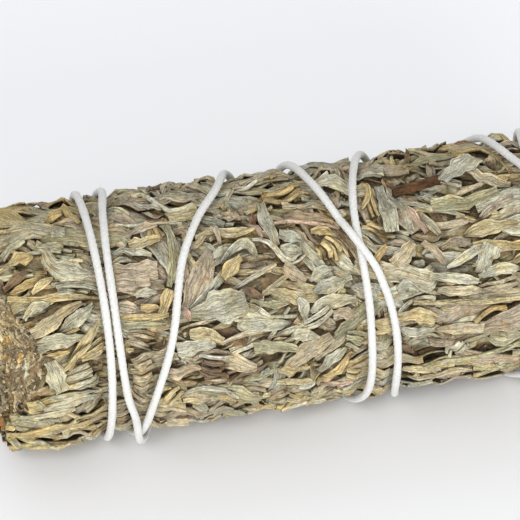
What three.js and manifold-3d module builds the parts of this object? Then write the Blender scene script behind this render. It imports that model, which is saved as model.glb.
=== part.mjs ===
// A dried sage bundle: leaf sprigs packed into a thick roll that lies on its side, wound up and
// down its length with one white cotton string. Millimetres, +Z up. The roll's axis runs along X,
// the cut base is at -X, and the origin is under the roll's middle, on the surface it rests on.

import * as THREE from 'three';
import { mergeVertices } from 'three/addons/utils/BufferGeometryUtils.js';
import Module from 'manifold-3d';

const wasm = await Module();
wasm.setup();

// ---- driving dimensions -------------------------------------------------------------------

const LENGTH = 107;            // the roll, from the cut base to the trimmed tips
const LEAF_RADIUS = 17.4;      // out to the crests of the outer leaves
const AXIS_HEIGHT = 17.4;      // the roll has settled into a flat along its underside
const CORE_RADIUS = 15.6;      // packed mass that the outer leaves stand out of
const CORE_END = 1.8;          // how far each end of the packed mass lies behind the leaf ends
const STRING_DIAMETER = 1.36;
const STRING_REACH = 18.4;     // from the roll's axis to the middle of the string
const GAP = 0.3;               // clearance between the string, the stems and the leaves
const STRING_FLOOR = 0.35;     // least height of the string over the surface below the roll
const COLOUR = { leaf: 0xa0957d, cotton: 0xecebe7, bark: 0x4c3426, wood: 0xa8703a };
const SEED = { leaves: 71, base: 19, tips: 37 };

const HALF = LENGTH / 2;
const DEGREE = Math.PI / 180;

// ---- positions on the roll ----------------------------------------------------------------
// A place is (x, turn, radius): turn is in degrees round the axis, 0 on top, 90 at the front.

function place(x, turn, radius) {
  const angle = turn * DEGREE;
  return new THREE.Vector3(x, -radius * Math.sin(angle), AXIS_HEIGHT + radius * Math.cos(angle));
}

function seededRandom(seed) {
  let state = seed;
  return (low = 0, high = 1) => {
    state = (Math.imul(state, 1664525) + 1013904223) >>> 0;
    return low + (high - low) * (state / 4294967296);
  };
}

function angleBetween(a, b) {
  return ((((a - b) % 360) + 540) % 360) - 180;
}

// How far the cut base is set back round its rim: a bite at the front, where the outer leaves
// have broken off short and the crumbled inside shows.
const BITE = { turn: 68, reach: 44, depth: 5.6 };

function baseSetback(turn) {
  const away = Math.min(1, Math.abs(angleBetween(turn, BITE.turn)) / BITE.reach);
  return BITE.depth * (0.5 + 0.5 * Math.cos(Math.PI * away));
}

// ---- solids and meshes --------------------------------------------------------------------

function solidOf(geometry) {
  const bare = geometry.clone();
  bare.deleteAttribute('normal');
  bare.deleteAttribute('uv');
  const merged = mergeVertices(bare, 1e-3);
  const mesh = new wasm.Mesh({
    numProp: 3,
    vertProperties: new Float32Array(merged.attributes.position.array),
    triVerts: new Uint32Array(merged.index.array),
  });
  return new wasm.Manifold(mesh);
}

function geometryFrom(points, faces) {
  const geometry = new THREE.BufferGeometry();
  const flat = points.flatMap((point) => [point.x, point.y, point.z]);
  geometry.setAttribute('position', new THREE.Float32BufferAttribute(flat, 3));
  geometry.setIndex(faces);
  return geometry;
}

// Rings of points, each the same length, skinned one to the next and closed at both ends.
function loft(rings) {
  const sides = rings[0].length;
  const faces = [];
  for (let ring = 0; ring + 1 < rings.length; ring += 1) {
    for (let side = 0; side < sides; side += 1) {
      const a = ring * sides + side;
      const b = ring * sides + ((side + 1) % sides);
      faces.push(a, b, b + sides, a, b + sides, a + sides);
    }
  }
  const last = (rings.length - 1) * sides;
  for (let side = 1; side + 1 < sides; side += 1) {
    faces.push(0, side + 1, side);
    faces.push(last, last + side, last + side + 1);
  }
  return geometryFrom(rings.flat(), faces);
}

// Rings skinned one to the next and drawn to a point at each end.
function spindle(start, rings, end) {
  const sides = rings[0].length;
  const points = [start, ...rings.flat(), end];
  const last = points.length - 1;
  const faces = [];
  for (let side = 0; side < sides; side += 1) {
    const next = (side + 1) % sides;
    faces.push(0, 1 + next, 1 + side);
    faces.push(last, last - sides + side, last - sides + next);
    for (let ring = 0; ring + 1 < rings.length; ring += 1) {
      const a = 1 + ring * sides + side;
      const b = 1 + ring * sides + next;
      faces.push(a, b, b + sides, a, b + sides, a + sides);
    }
  }
  return geometryFrom(points, faces);
}

function geometryOf(solid) {
  const { vertProperties, triVerts } = solid.getMesh();
  const geometry = new THREE.BufferGeometry();
  geometry.setAttribute('position', new THREE.BufferAttribute(vertProperties, 3));
  geometry.setIndex(new THREE.BufferAttribute(triVerts, 1));
  return geometry;
}

// The outer skin of a solid, its vertices merged: loose scraps are dropped and any pocket that
// was sealed by joining is filled.
function outerSkin(solid) {
  const bodies = solidOf(geometryOf(solid)).decompose();
  return geometryOf(bodies.reduce((best, body) => (body.volume() > best.volume() ? body : best)));
}

// ---- leaves -------------------------------------------------------------------------------

const LEAF = {
  long: 17,
  wide: 5.8,
  lift: 1.4,         // edges over the packed mass
  crest: 0.6,        // mid crest over the edges
  root: 0.9,         // depth of the leaf's root in the packed mass
  stalk: 0.3,        // height of the stalk end, as a share of the lift
  bendCentre: 0.4,   // keeps a curled leaf centred on its place
};

// Half width of a leaf at its two stations between stalk and tip, as shares of the full one.
const LEAF_OUTLINE = [
  { along: -0.42, half: 1 },
  { along: 0.34, half: 0.84 },
];

// One leaf lying on the packed mass, its root sunk in it. tilt turns it from the roll's axis,
// bend curls it sideways, rise lifts its tip, and fold is the height of its mid crest.
function leafSolid({ x, turn, long, wide, tilt, bend = 0, lift, rise = 0, fold }) {
  const corner = (along, across, radius) => {
    const ahead = (along * long) / 2;
    const side = bend * (along * along - LEAF.bendCentre) + (across * wide) / 2;
    const dx = ahead * Math.cos(tilt * DEGREE) - side * Math.sin(tilt * DEGREE);
    const round = ahead * Math.sin(tilt * DEGREE) + side * Math.cos(tilt * DEGREE);
    return place(x + dx, turn + round / LEAF_RADIUS / DEGREE, radius);
  };
  const rings = LEAF_OUTLINE.map(({ along, half }) => {
    const edge = CORE_RADIUS + lift + rise * along;
    const crest = corner(along, 0, edge + fold);
    const root = corner(along, 0, CORE_RADIUS - LEAF.root);
    return [corner(along, half, edge), root, corner(along, -half, edge), crest];
  });
  const stalk = corner(-1, 0, CORE_RADIUS + LEAF.stalk * lift);
  const tip = corner(1, 0, CORE_RADIUS + lift + rise);
  return solidOf(spindle(stalk, rings, tip));
}

// Stretches of the roll where the leaves don't run along it: x, turn, the leaves' tilt and how
// far over the surface the stretch reaches.
const SWEEPS = [
  { x: -43, turn: -12, tilt: 34, reach: 10 },
  { x: -26, turn: -18, tilt: 28, reach: 9 },
  { x: -26, turn: 22, tilt: 84, reach: 4.5 },
  { x: -43, turn: 47, tilt: -18, reach: 8 },
  { x: -5, turn: 30, tilt: 48, reach: 7 },
  { x: 7, turn: 5, tilt: 66, reach: 8 },
  { x: -8, turn: 90, tilt: -52, reach: 6 },
  { x: 33, turn: 55, tilt: 26, reach: 8 },
  { x: 12, turn: 205, tilt: -30, reach: 10 },
  { x: -20, turn: 250, tilt: 32, reach: 11 },
  { x: 36, turn: 280, tilt: -36, reach: 9 },
];

function sweepAt(x, turn) {
  let tilt = 0;
  for (const sweep of SWEEPS) {
    const round = angleBetween(turn, sweep.turn) * DEGREE * LEAF_RADIUS;
    const away = Math.hypot(x - sweep.x, round) / sweep.reach;
    tilt += sweep.tilt * Math.exp(-away * away);
  }
  return tilt;
}

// Leaves that catch the eye, each where it lies on the real roll.
const KEY_LEAVES = [
  { x: 17.5, turn: 18, long: 15, wide: 5, tilt: -4, lift: 1.1, fold: 0.5 },
  { x: -41, turn: 16, long: 14, wide: 4.4, tilt: -10, bend: 1.4, lift: 1.1, fold: 0.5 },
  { x: -25.6, turn: 22, long: 14, wide: 3.8, tilt: 86, bend: 0.5, lift: 1.1, fold: 0.55 },
  { x: -41, turn: -12, long: 13, wide: 4.6, tilt: 58, lift: 1, fold: 0.8 },
  { x: -22, turn: 85, long: 13, wide: 5, tilt: -22, lift: 0.9, fold: 0.4 },
  { x: 20, turn: -16, long: 15, wide: 4, tilt: 12, bend: -1.6, lift: 1, fold: 0.8 },
  { x: -8.5, turn: 90, long: 15, wide: 4.2, tilt: -58, lift: 1, fold: 0.6 },
  { x: 7.5, turn: -2, long: 16, wide: 4.2, tilt: 70, lift: 1, fold: 0.7 },
  { x: -4.5, turn: 27, long: 14, wide: 4.6, tilt: 46, bend: 1.2, lift: 1.1, fold: -0.5 },
];

// Three broad leaves under the roll, pressed flat by its weight, that it rests on.
const REST_LEAVES = [-43, -7, 33].map((x) => (
  { x, turn: 180, long: 15, wide: 11, tilt: 4, lift: 1.9, fold: 0.9 }
));

const ROWS = 18;               // leaves side by side round the roll
const COLUMNS = 8;             // leaves one behind the next along it

function surfaceLeaves() {
  const random = seededRandom(SEED.leaves);
  const leaves = [];
  const step = LENGTH / COLUMNS;
  for (let column = 0; column < COLUMNS; column += 1) {
    for (let row = 0; row < ROWS; row += 1) {
      const stagger = (row % 2) * 0.5 + random(-0.22, 0.22);
      const x = -HALF + (column + 0.25 + stagger) * step;
      const turn = ((row + random(-0.3, 0.3)) * 360) / ROWS;
      const folded = random() < 0.35;
      leaves.push({
        x,
        turn,
        long: LEAF.long * random(0.86, 1.12),
        wide: LEAF.wide * (folded ? random(0.72, 0.86) : random(0.95, 1.15)),
        tilt: sweepAt(x, turn) + random(-13, 13),
        bend: random(-0.9, 0.9),
        lift: LEAF.lift * random(0.15, 1),
        rise: random(-0.1, 0.25),
        fold: LEAF.crest * (folded ? random(0.9, 1.1) : random(-0.8, 0.8)),
      });
    }
  }
  return leaves;
}

// ---- end faces ----------------------------------------------------------------------------

// Leaf layers seen edge-on in an end face: rings of short curved ribs that stand out of it.
const END_RINGS = [
  { radius: 4.4, ribs: 4 },
  { radius: 8.8, ribs: 6 },
  { radius: 13.2, ribs: 8 },
];
const END_RIB = {
  thick: 1.4,
  long: 6.4,
  out: 1.3,          // how far it stands out of the packed mass
  root: 1.5,         // how deep it is sunk in it
  shoulder: 0.75,    // height of its two ends, as a share of its middle's
  crowd: 5.2,        // a ring's radii of ribs in all, so that they keep clear of one another
  stagger: 9,        // degrees that a ring is turned by for each millimetre of its radius
};

function endRib(end, radius, turn, long, out, twist) {
  const base = HALF - CORE_END - (end < 0 ? endSetback(turn, radius) : 0);
  const rings = [-1, 0, 1].map((along) => {
    const at = turn + ((along * long) / 2 / radius) / DEGREE;
    const mid = radius + twist * along;
    const inner = mid - END_RIB.thick / 2;
    const outer = mid + END_RIB.thick / 2;
    const near = end * (base - END_RIB.root);
    const far = end * (base + out * (along === 0 ? 1 : END_RIB.shoulder));
    const ring = [
      place(near, at, inner),
      place(near, at, outer),
      place(far, at, outer),
      place(far, at, inner),
    ];
    return end > 0 ? ring.reverse() : ring;
  });
  return solidOf(loft(rings));
}

function endRibs(end) {
  const random = seededRandom(end < 0 ? SEED.base : SEED.tips);
  const ribs = [];
  for (const { radius, ribs: count } of END_RINGS) {
    for (let n = 0; n < count; n += 1) {
      const turn = ((n + random(-0.2, 0.2)) * 360) / count + radius * END_RIB.stagger;
      const long = Math.min(END_RIB.long * random(0.8, 1.1), (radius * END_RIB.crowd) / count);
      const out = END_RIB.out * random(0.45, 1.1);
      ribs.push(endRib(end, radius + random(-0.4, 0.4), turn, long, out, random(-0.5, 0.5)));
    }
  }
  return ribs;
}

// The base slopes back towards the bite in its rim.
function endSetback(turn, radius) {
  return baseSetback(turn) * (radius / CORE_RADIUS) ** 2;
}

// ---- the packed mass and the space that the leaves may fill ---------------------------------

const CORE = { sides: 24, floor: 0.5 };

// The leaves may reach this far over the packed mass and short of the roll's ends, which are
// ragged: waves is the number of high places round an end's rim.
const SPACE = { over: 3.4, short: 0.7, ragged: 0.7, waves: 5, sides: 20, floor: 0 };
const CAP_SHARES = [0.02, 0.5];    // radii of a cap's inner rings, as shares of the bar's

// A closed round bar along X. Each cap is a fan of rings that follows the end's own slope.
function bar(radius, endAt, sides, floor) {
  const rings = [];
  const ringAt = (end, share) => {
    const ring = [];
    for (let side = 0; side < sides; side += 1) {
      const turn = (side * 360) / sides;
      const point = place(end * endAt(end, turn, radius * share), turn, radius * share);
      point.z = Math.max(point.z, floor);
      ring.push(point);
    }
    return ring;
  };
  for (const share of CAP_SHARES) {
    rings.push(ringAt(-1, share));
  }
  rings.push(ringAt(-1, 1), ringAt(1, 1));
  for (const share of [...CAP_SHARES].reverse()) {
    rings.push(ringAt(1, share));
  }
  return solidOf(loft(rings));
}

function coreSolid() {
  const endAt = (end, turn, radius) => HALF - CORE_END - (end < 0 ? endSetback(turn, radius) : 0);
  return bar(CORE_RADIUS, endAt, CORE.sides, CORE.floor);
}

function leafSpace() {
  const endAt = (end, turn, radius) => {
    const ragged = SPACE.ragged * Math.sin(turn * SPACE.waves * DEGREE) * (radius / CORE_RADIUS);
    const setback = end < 0 ? endSetback(turn, Math.min(radius, CORE_RADIUS)) : 0;
    return HALF - SPACE.short + ragged - setback;
  };
  return bar(CORE_RADIUS + SPACE.over, endAt, SPACE.sides, SPACE.floor);
}

// ---- string ---------------------------------------------------------------------------------

// The string's route as [x, turn]. One winding goes from the knot to the base in open turns,
// turns round there, and comes back over the first. The turn counts up all the way.
const WINDING_TO_BASE = [
  [36.2, -92], [39.6, -60], [40.8, -30], [41, 40], [39.6, 130], [36, 220],
  [30.6, 320], [28.8, 350], [28.2, 385], [27.4, 450], [25.2, 500],
  [16, 590], [6.4, 676], [2.2, 716], [0.6, 742], [0.6, 790], [0.4, 850],
  [-5, 940], [-14.4, 1036], [-17.6, 1067], [-22.2, 1090], [-25.6, 1111], [-28.4, 1144],
  [-31.8, 1180], [-33.4, 1222], [-36.2, 1310], [-37.4, 1400], [-37.6, 1440], [-37.6, 1500],
  [-37.9, 1570],
];
const WINDING_BACK = [
  [-37.9, 1570], [-36.6, 1650], [-33.6, 1760], [-35.2, 1800], [-35.9, 1820], [-36.2, 1845],
  [-36.1, 1870], [-35.5, 1892], [-34.4, 1908], [-32.8, 1938], [-26, 1985], [-13, 2035],
  [-7, 2080], [-5, 2136], [-4, 2154],
  [-0.8, 2188], [2.6, 2210], [4.2, 2235], [5.4, 2290], [12.6, 2380], [23.2, 2470],
  [25, 2505], [27.4, 2532], [29.4, 2580], [31.6, 2650], [35.2, 2740], [37.4, 2830],
  [38.6, 2890], [40.4, 2940], [43, 3010], [42.8, 3120], [41, 3180], [37.8, 3212],
];
const STRING = { step: 15, sides: 6 };    // degrees from one ring of its tube to the next

// Two rings, apart along the roll and staggered round it, each tilted its own way.
const KNOT = {
  x: 40.3, turn: 300, radius: 19.3, ring: 1.35, tilt: 38, apart: 0.9, stagger: 4, sides: 6, steps: 10,
};

// spread: degrees to each side of the roll's underside; slack: room beyond the usual gap.
const GROOVE = { spread: 37, slack: 0.12, steps: 7 };

// Over a crossing the string rises by its own thickness. It does so within reach on each side,
// and within more where it crosses slantwise; ease shapes the rise.
const CROSSING = {
  rise: STRING_DIAMETER + GAP + 0.06, reach: 3.6, slantReach: 1.2, leastSlant: 0.12, ease: 1.6, search: 2,
};

// The route's x at any turn, smooth through its points.
function routeX(route, turn) {
  let n = 0;
  while (n + 2 < route.length && route[n + 1][1] < turn) {
    n += 1;
  }
  const slope = (k) => {
    const before = route[Math.max(k - 1, 0)];
    const after = route[Math.min(k + 1, route.length - 1)];
    return (after[0] - before[0]) / (after[1] - before[1]);
  };
  const [x0, t0] = route[n];
  const [x1, t1] = route[n + 1];
  const span = t1 - t0;
  const u = (turn - t0) / span;
  const ease = u * u * (3 - 2 * u);
  const bow = span * (slope(n) * u * (1 - u) ** 2 - slope(n + 1) * u * u * (1 - u));
  return x0 + (x1 - x0) * ease + bow;
}

// Where the winding back crosses a turn of the winding to the base, and how slantwise.
function crossings() {
  const found = [];
  const whole = [...WINDING_TO_BASE, ...WINDING_BACK.slice(1)];
  const last = whole[whole.length - 1][1];
  const { search } = CROSSING;
  for (let turn = WINDING_TO_BASE[0][1] + 360; turn < last; turn += search) {
    for (let under = turn - 360; under > WINDING_TO_BASE[0][1]; under -= 360) {
      const before = routeX(whole, turn) - routeX(whole, under);
      const after = routeX(whole, turn + search) - routeX(whole, under + search);
      if (before * after <= 0) {
        const slant = Math.abs(after - before) / (search * DEGREE * LEAF_RADIUS);
        const more = CROSSING.slantReach / Math.max(slant, CROSSING.leastSlant);
        found.push({ turn: turn + search / 2, reach: CROSSING.reach + more });
      }
    }
  }
  return found;
}

const CROSSINGS = crossings();

// The string lies on the leaves, dips where the roll is flat below, and rises over itself.
function stringRadius(turn) {
  const down = -Math.cos(turn * DEGREE);
  const lowest = AXIS_HEIGHT - STRING_FLOOR - STRING_DIAMETER / 2;
  const over = CROSSINGS.map((crossing) => {
    const away = (Math.abs(turn - crossing.turn) * DEGREE * LEAF_RADIUS) / crossing.reach;
    return away < 1 ? CROSSING.rise * (0.5 + 0.5 * Math.cos(Math.PI * away ** CROSSING.ease)) : 0;
  });
  const free = STRING_REACH + Math.max(0, ...over);
  return down > 0 ? Math.min(free, lowest / down) : free;
}

function windingCurve(route) {
  const points = [];
  const first = route[0][1];
  const last = route[route.length - 1][1];
  const steps = Math.round((last - first) / STRING.step);
  for (let n = 0; n <= steps; n += 1) {
    const turn = first + ((last - first) * n) / steps;
    points.push(place(routeX(route, turn), turn, stringRadius(turn)));
  }
  return { curve: new THREE.CatmullRomCurve3(points), steps };
}

function roundSection(radius, sides) {
  const section = new THREE.Shape();
  for (let n = 0; n < sides; n += 1) {
    const angle = ((n + 0.5) * 2 * Math.PI) / sides;
    const across = radius * Math.cos(angle);
    const up = radius * Math.sin(angle);
    if (n === 0) {
      section.moveTo(across, up);
    } else {
      section.lineTo(across, up);
    }
  }
  return section;
}

function tube(curve, steps, radius, sides) {
  return solidOf(new THREE.ExtrudeGeometry(roundSection(radius, sides), {
    steps,
    extrudePath: curve,
    bevelEnabled: false,
  }));
}

function windingTube(route) {
  const { curve, steps } = windingCurve(route);
  return tube(curve, steps, STRING_DIAMETER / 2, STRING.sides);
}

// Two loops drawn tight round both ends of the string.
function knotSolid() {
  const loops = [-1, 1].map((hand) => {
    const loop = new THREE.TorusGeometry(KNOT.ring, STRING_DIAMETER / 2, KNOT.sides, KNOT.steps);
    loop.rotateY(90 * DEGREE);
    loop.rotateZ(hand * KNOT.tilt * DEGREE);
    loop.rotateX(KNOT.turn * DEGREE);
    const x = KNOT.x + (hand * KNOT.apart) / 2;
    const at = place(x, KNOT.turn + (hand * KNOT.stagger) / 2, KNOT.radius);
    loop.translate(at.x, at.y, at.z);
    return solidOf(loop);
  });
  return loops[0].add(loops[1]);
}

function stringSolid() {
  return wasm.Manifold.union([windingTube(WINDING_TO_BASE), windingTube(WINDING_BACK), knotSolid()]);
}

// Where the roll rests, the string has sunk into the leaves: a groove for each pass below it.
function stringGrooves() {
  const cuts = [];
  for (const route of [WINDING_TO_BASE, WINDING_BACK]) {
    const first = route[0][1];
    const last = route[route.length - 1][1];
    for (let middle = 180; middle < last; middle += 360) {
      if (middle - GROOVE.spread > first && middle + GROOVE.spread < last) {
        const points = [-1, -0.5, 0, 0.5, 1].map((share) => {
          const turn = middle + share * GROOVE.spread;
          return place(routeX(route, turn), turn, stringRadius(turn));
        });
        const curve = new THREE.CatmullRomCurve3(points);
        const radius = STRING_DIAMETER / 2 + GAP + GROOVE.slack;
        cuts.push(tube(curve, GROOVE.steps, radius, STRING.sides));
      }
    }
  }
  return cuts;
}

// ---- stems and the twig ---------------------------------------------------------------------

// Woody stems whose cut ends show in the base. out is how far each stands out of the packed mass.
const STEMS = [
  { turn: 126, from: 13.9, width: 2.4, long: 40, out: 1.6 },
  { turn: 20, from: 9.4, width: 2.2, long: 34, out: 0.9 },
  { turn: 250, from: 8, width: 2.8, long: 46, out: 1.1 },
  { turn: 305, from: 13, width: 1.9, long: 30, out: 0.8 },
  { turn: 165, from: 5.4, width: 2.1, long: 38, out: 1 },
];
const STEM_SIDES = 10;
const BORE_OVERRUN = 4;        // how far a stem's hole is cut clear of the base

// A stem, or with some growth the hole that it stands in.
function stemParts(stem, grow) {
  const inner = HALF - CORE_END - endSetback(stem.turn, stem.from);
  const radius = stem.width / 2 + grow;
  const start = place(-inner - stem.out - (grow > 0 ? BORE_OVERRUN : 0), stem.turn, stem.from);
  const end = place(-inner - stem.out + stem.long + grow, stem.turn, stem.from);
  const shape = new THREE.CylinderGeometry(radius, radius, start.distanceTo(end), STEM_SIDES);
  shape.rotateZ(90 * DEGREE);
  const middle = start.clone().lerp(end, 0.5);
  return { shape, middle };
}

// A dark broken twig that lies among the outer leaves. Its line's points are [x, turn, radius].
const TWIG = {
  width: 1.6,
  line: [[7.3, 8.2, 17.2], [9.8, 7.2, 17.6], [12.4, 5.4, 17.6], [16.6, 2.8, 17.1]],
  steps: 6,
  sides: 7,
};

function twigTube(grow) {
  const points = TWIG.line.map(([x, turn, radius]) => place(x, turn, radius));
  const first = points[0].clone().lerp(points[1], -grow / points[0].distanceTo(points[1]));
  const n = points.length - 1;
  const last = points[n].clone().lerp(points[n - 1], -grow / points[n].distanceTo(points[n - 1]));
  const curve = new THREE.CatmullRomCurve3([first, ...points.slice(1, -1), last]);
  return tube(curve, TWIG.steps, TWIG.width / 2 + grow, TWIG.sides);
}

// ---- assembly -------------------------------------------------------------------------------

function leavesSolid() {
  const leaves = [...surfaceLeaves(), ...KEY_LEAVES, ...REST_LEAVES].map(leafSolid);
  const standing = [coreSolid(), ...leaves, ...endRibs(-1), ...endRibs(1)];
  const packed = wasm.Manifold.union(standing).intersect(leafSpace());
  const holes = STEMS.map((stem) => {
    const { shape, middle } = stemParts(stem, GAP);
    shape.translate(middle.x, middle.y, middle.z);
    return solidOf(shape);
  });
  const cuts = wasm.Manifold.union([...stringGrooves(), ...holes, twigTube(GAP)]);
  return packed.subtract(cuts);
}

function part(name, geometry, color, roughness) {
  const material = new THREE.MeshStandardMaterial({ color, roughness, metalness: 0 });
  const mesh = new THREE.Mesh(geometry, material);
  mesh.name = name;
  return mesh;
}

const bunch = new THREE.Group();
bunch.add(part('sage_leaves', outerSkin(leavesSolid()), COLOUR.leaf, 0.92));
bunch.add(part('string', outerSkin(stringSolid()), COLOUR.cotton, 0.9));
bunch.add(part('twig', outerSkin(twigTube(0)), COLOUR.bark, 0.8));
STEMS.forEach((stem, n) => {
  const { shape, middle } = stemParts(stem, 0);
  const mesh = part(`stem_${n + 1}`, shape, COLOUR.wood, 0.85);
  mesh.position.copy(middle);
  bunch.add(mesh);
});

export default bunch;
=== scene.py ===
"""Looks of the dried sage bundle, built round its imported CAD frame.

Lengths are in millimetres until a mesh is made. A turn is an angle round the roll in degrees: 0 on
top, 90 in front. A place on the unrolled skin is x along the roll and millimetres round it.
"""

import math
from itertools import combinations

import bpy
import numpy as np
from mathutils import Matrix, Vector


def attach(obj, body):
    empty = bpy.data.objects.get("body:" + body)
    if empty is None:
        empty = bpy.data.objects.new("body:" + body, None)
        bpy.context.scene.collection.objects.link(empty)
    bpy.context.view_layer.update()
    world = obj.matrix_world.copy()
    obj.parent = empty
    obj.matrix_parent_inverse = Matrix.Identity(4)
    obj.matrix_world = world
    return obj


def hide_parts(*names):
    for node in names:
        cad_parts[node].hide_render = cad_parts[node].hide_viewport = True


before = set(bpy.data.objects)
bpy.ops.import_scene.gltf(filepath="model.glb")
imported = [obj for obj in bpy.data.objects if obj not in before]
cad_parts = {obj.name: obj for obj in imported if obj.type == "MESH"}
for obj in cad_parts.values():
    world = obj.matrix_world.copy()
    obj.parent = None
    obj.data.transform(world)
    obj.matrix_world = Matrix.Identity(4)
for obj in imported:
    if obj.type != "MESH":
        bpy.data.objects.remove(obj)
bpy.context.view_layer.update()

rng = np.random.default_rng(11)

# ---- the roll

MM = 0.001
LENGTH = 107.0
HALF = LENGTH / 2
AXIS_HEIGHT = 17.4            # the roll's axis over the surface it lies on
SKIN_RADIUS = 17.35           # middle of the outer leaves
SEEN_RADIUS = SKIN_RADIUS + 0.4
CORE_RADIUS = 15.3            # packed mass that shows in the gaps
CORE_END = 1.8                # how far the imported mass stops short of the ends
GIRTH = 2 * math.pi * SKIN_RADIUS
BITE = {"turn": 68, "reach": 44, "depth": 5.6}      # the hollow in the cut base

VIEW = {"azimuth": -12.8, "elevation": 40.0, "distance": 500.0, "scale": 6.72}
AIM = {"x": -12.0, "pixel_up": 31}     # point of the axis and how far under the middle it shows
FRAME_PIXELS = 520
FREE = 99.0                   # a height that nothing reaches


def place(x, turn, radius):
    """Points at x along the roll, turn degrees round it and a radius from its axis."""
    angle = np.radians(turn)
    y, z = -radius * np.sin(angle), AXIS_HEIGHT + radius * np.cos(angle)
    return np.stack(np.broadcast_arrays(x, y, z), axis=-1)


def turn_of(round_mm):
    return np.degrees(np.asarray(round_mm) / SKIN_RADIUS)


def between(a, b):
    """The signed angle from b to a, in degrees."""
    return (np.asarray(a) - b + 180) % 360 - 180


def base_setback(turn, radius=CORE_RADIUS):
    """How far the cut base is bitten back."""
    away = np.minimum(1, np.abs(between(turn, BITE["turn"])) / BITE["reach"])
    bite = BITE["depth"] * (0.5 + 0.5 * np.cos(np.pi * away))
    return bite * np.minimum(1, radius / CORE_RADIUS) ** 2


def view_axes():
    """The camera's place, and its directions back, right and up."""
    a, e = math.radians(VIEW["azimuth"]), math.radians(VIEW["elevation"])
    back = np.array([math.sin(a) * math.cos(e), -math.cos(a) * math.cos(e), math.sin(e)])
    right = np.array([math.cos(a), math.sin(a), 0])
    up = np.cross(back, right)
    aim = np.array([AIM["x"], 0, AXIS_HEIGHT]) + up * (AIM["pixel_up"] / VIEW["scale"])
    return aim + back * VIEW["distance"], back, right, up


def on_roll(pixels):
    """Places on the unrolled skin that show at pixels of the photograph."""
    eye, back, right, up = view_axes()
    off = np.reshape(pixels, (-1, 2)) - FRAME_PIXELS / 2
    sight = off[:, :1] * right - off[:, 1:] * up - VIEW["scale"] * VIEW["distance"] * back
    start = eye - np.array([0, 0, AXIS_HEIGHT])
    a = (sight[:, 1:] ** 2).sum(axis=1)
    b = (sight[:, 1:] * start[1:]).sum(axis=1)
    c = (start[1:] ** 2).sum() - SEEN_RADIUS ** 2
    depth = (-b - np.sqrt(np.maximum(b * b - a * c, 0))) / a
    hit = start + sight * depth[:, None]
    return np.stack([hit[:, 0], np.arctan2(-hit[:, 1], hit[:, 2]) * SKIN_RADIUS], -1)


def smooth_through(at, values, slope, where):
    """Values at where on a cubic curve through the values at at, with the given slopes there."""
    n = np.clip(np.searchsorted(at, where) - 1, 0, len(at) - 2)
    span, u = at[n + 1] - at[n], where - at[n]
    if values.ndim > 1:
        span, u = span[:, None], u[:, None]
    u = u / span
    bow = span * (slope[n] * u * (1 - u) ** 2 - slope[n + 1] * u * u * (1 - u))
    return values[n] + (values[n + 1] - values[n]) * u * u * (3 - 2 * u) + bow


# ---- meshes

def new_piece(name, points, faces, material, nodes, sharp=50):
    """A mesh piece from points in millimetres and a list of face arrays of 3 or 4 corners."""
    mesh = bpy.data.meshes.new(name)
    corners = np.concatenate([f.ravel() for f in faces])
    sizes = np.concatenate([np.full(len(f), f.shape[1]) for f in faces])
    mesh.vertices.add(len(points))
    mesh.vertices.foreach_set("co", (points * MM).astype(np.float32).ravel())
    mesh.loops.add(len(corners))
    mesh.loops.foreach_set("vertex_index", corners.astype(np.int32))
    mesh.polygons.add(len(sizes))
    starts = np.concatenate([[0], np.cumsum(sizes)[:-1]])
    mesh.polygons.foreach_set("loop_start", starts.astype(np.int32))
    mesh.update(calc_edges=True)
    mesh.validate()
    mesh.shade_smooth()
    mesh.set_sharp_from_angle(angle=math.radians(sharp))
    mesh.materials.append(material)
    piece = bpy.data.objects.new(name, mesh)
    bpy.context.scene.collection.objects.link(piece)
    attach(piece, "root")
    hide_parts(*nodes)
    return piece


def add_colour(piece, name, rgba):
    layer = piece.data.attributes.new(name, "FLOAT_COLOR", "POINT")
    layer.data.foreach_set("color", np.asarray(rgba, dtype=np.float32).ravel())


def add_uv(piece, name, uv):
    """A UV map from one (u, v) for each vertex."""
    layer = piece.data.uv_layers.new(name=name)
    at = np.empty(len(piece.data.loops), dtype=np.int32)
    piece.data.loops.foreach_get("vertex_index", at)
    layer.data.foreach_set("uv", np.asarray(uv, dtype=np.float32)[at].ravel())


def tube_faces(rings, sides):
    """Quads between rings of points, and fans over the first and the last ring."""
    ids = np.arange(rings * sides).reshape(rings, sides)
    nxt = np.roll(ids, -1, axis=1)
    quads = np.stack([ids[:-1], nxt[:-1], nxt[1:], ids[1:]], -1).reshape(-1, 4)
    first, last = ids[0], ids[-1]
    fans = [(first[0], first[n + 1], first[n]) for n in range(1, sides - 1)]
    fans += [(last[0], last[n], last[n + 1]) for n in range(1, sides - 1)]
    return quads, np.array(fans)


def merged(solids):
    """Many solids, each its points, quads and fans, as the points, quads and fans of one mesh."""
    starts = np.cumsum([0] + [len(solid[0]) for solid in solids])
    points, *faces = zip(*solids)
    return np.concatenate(points), *(
        np.concatenate([ids + start for ids, start in zip(kind, starts)]) for kind in faces)


def unit(vector):
    return vector / np.linalg.norm(vector)


ANY_WAY = (0.3, 0.9, 0.2)      # a direction that no path starts in


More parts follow.
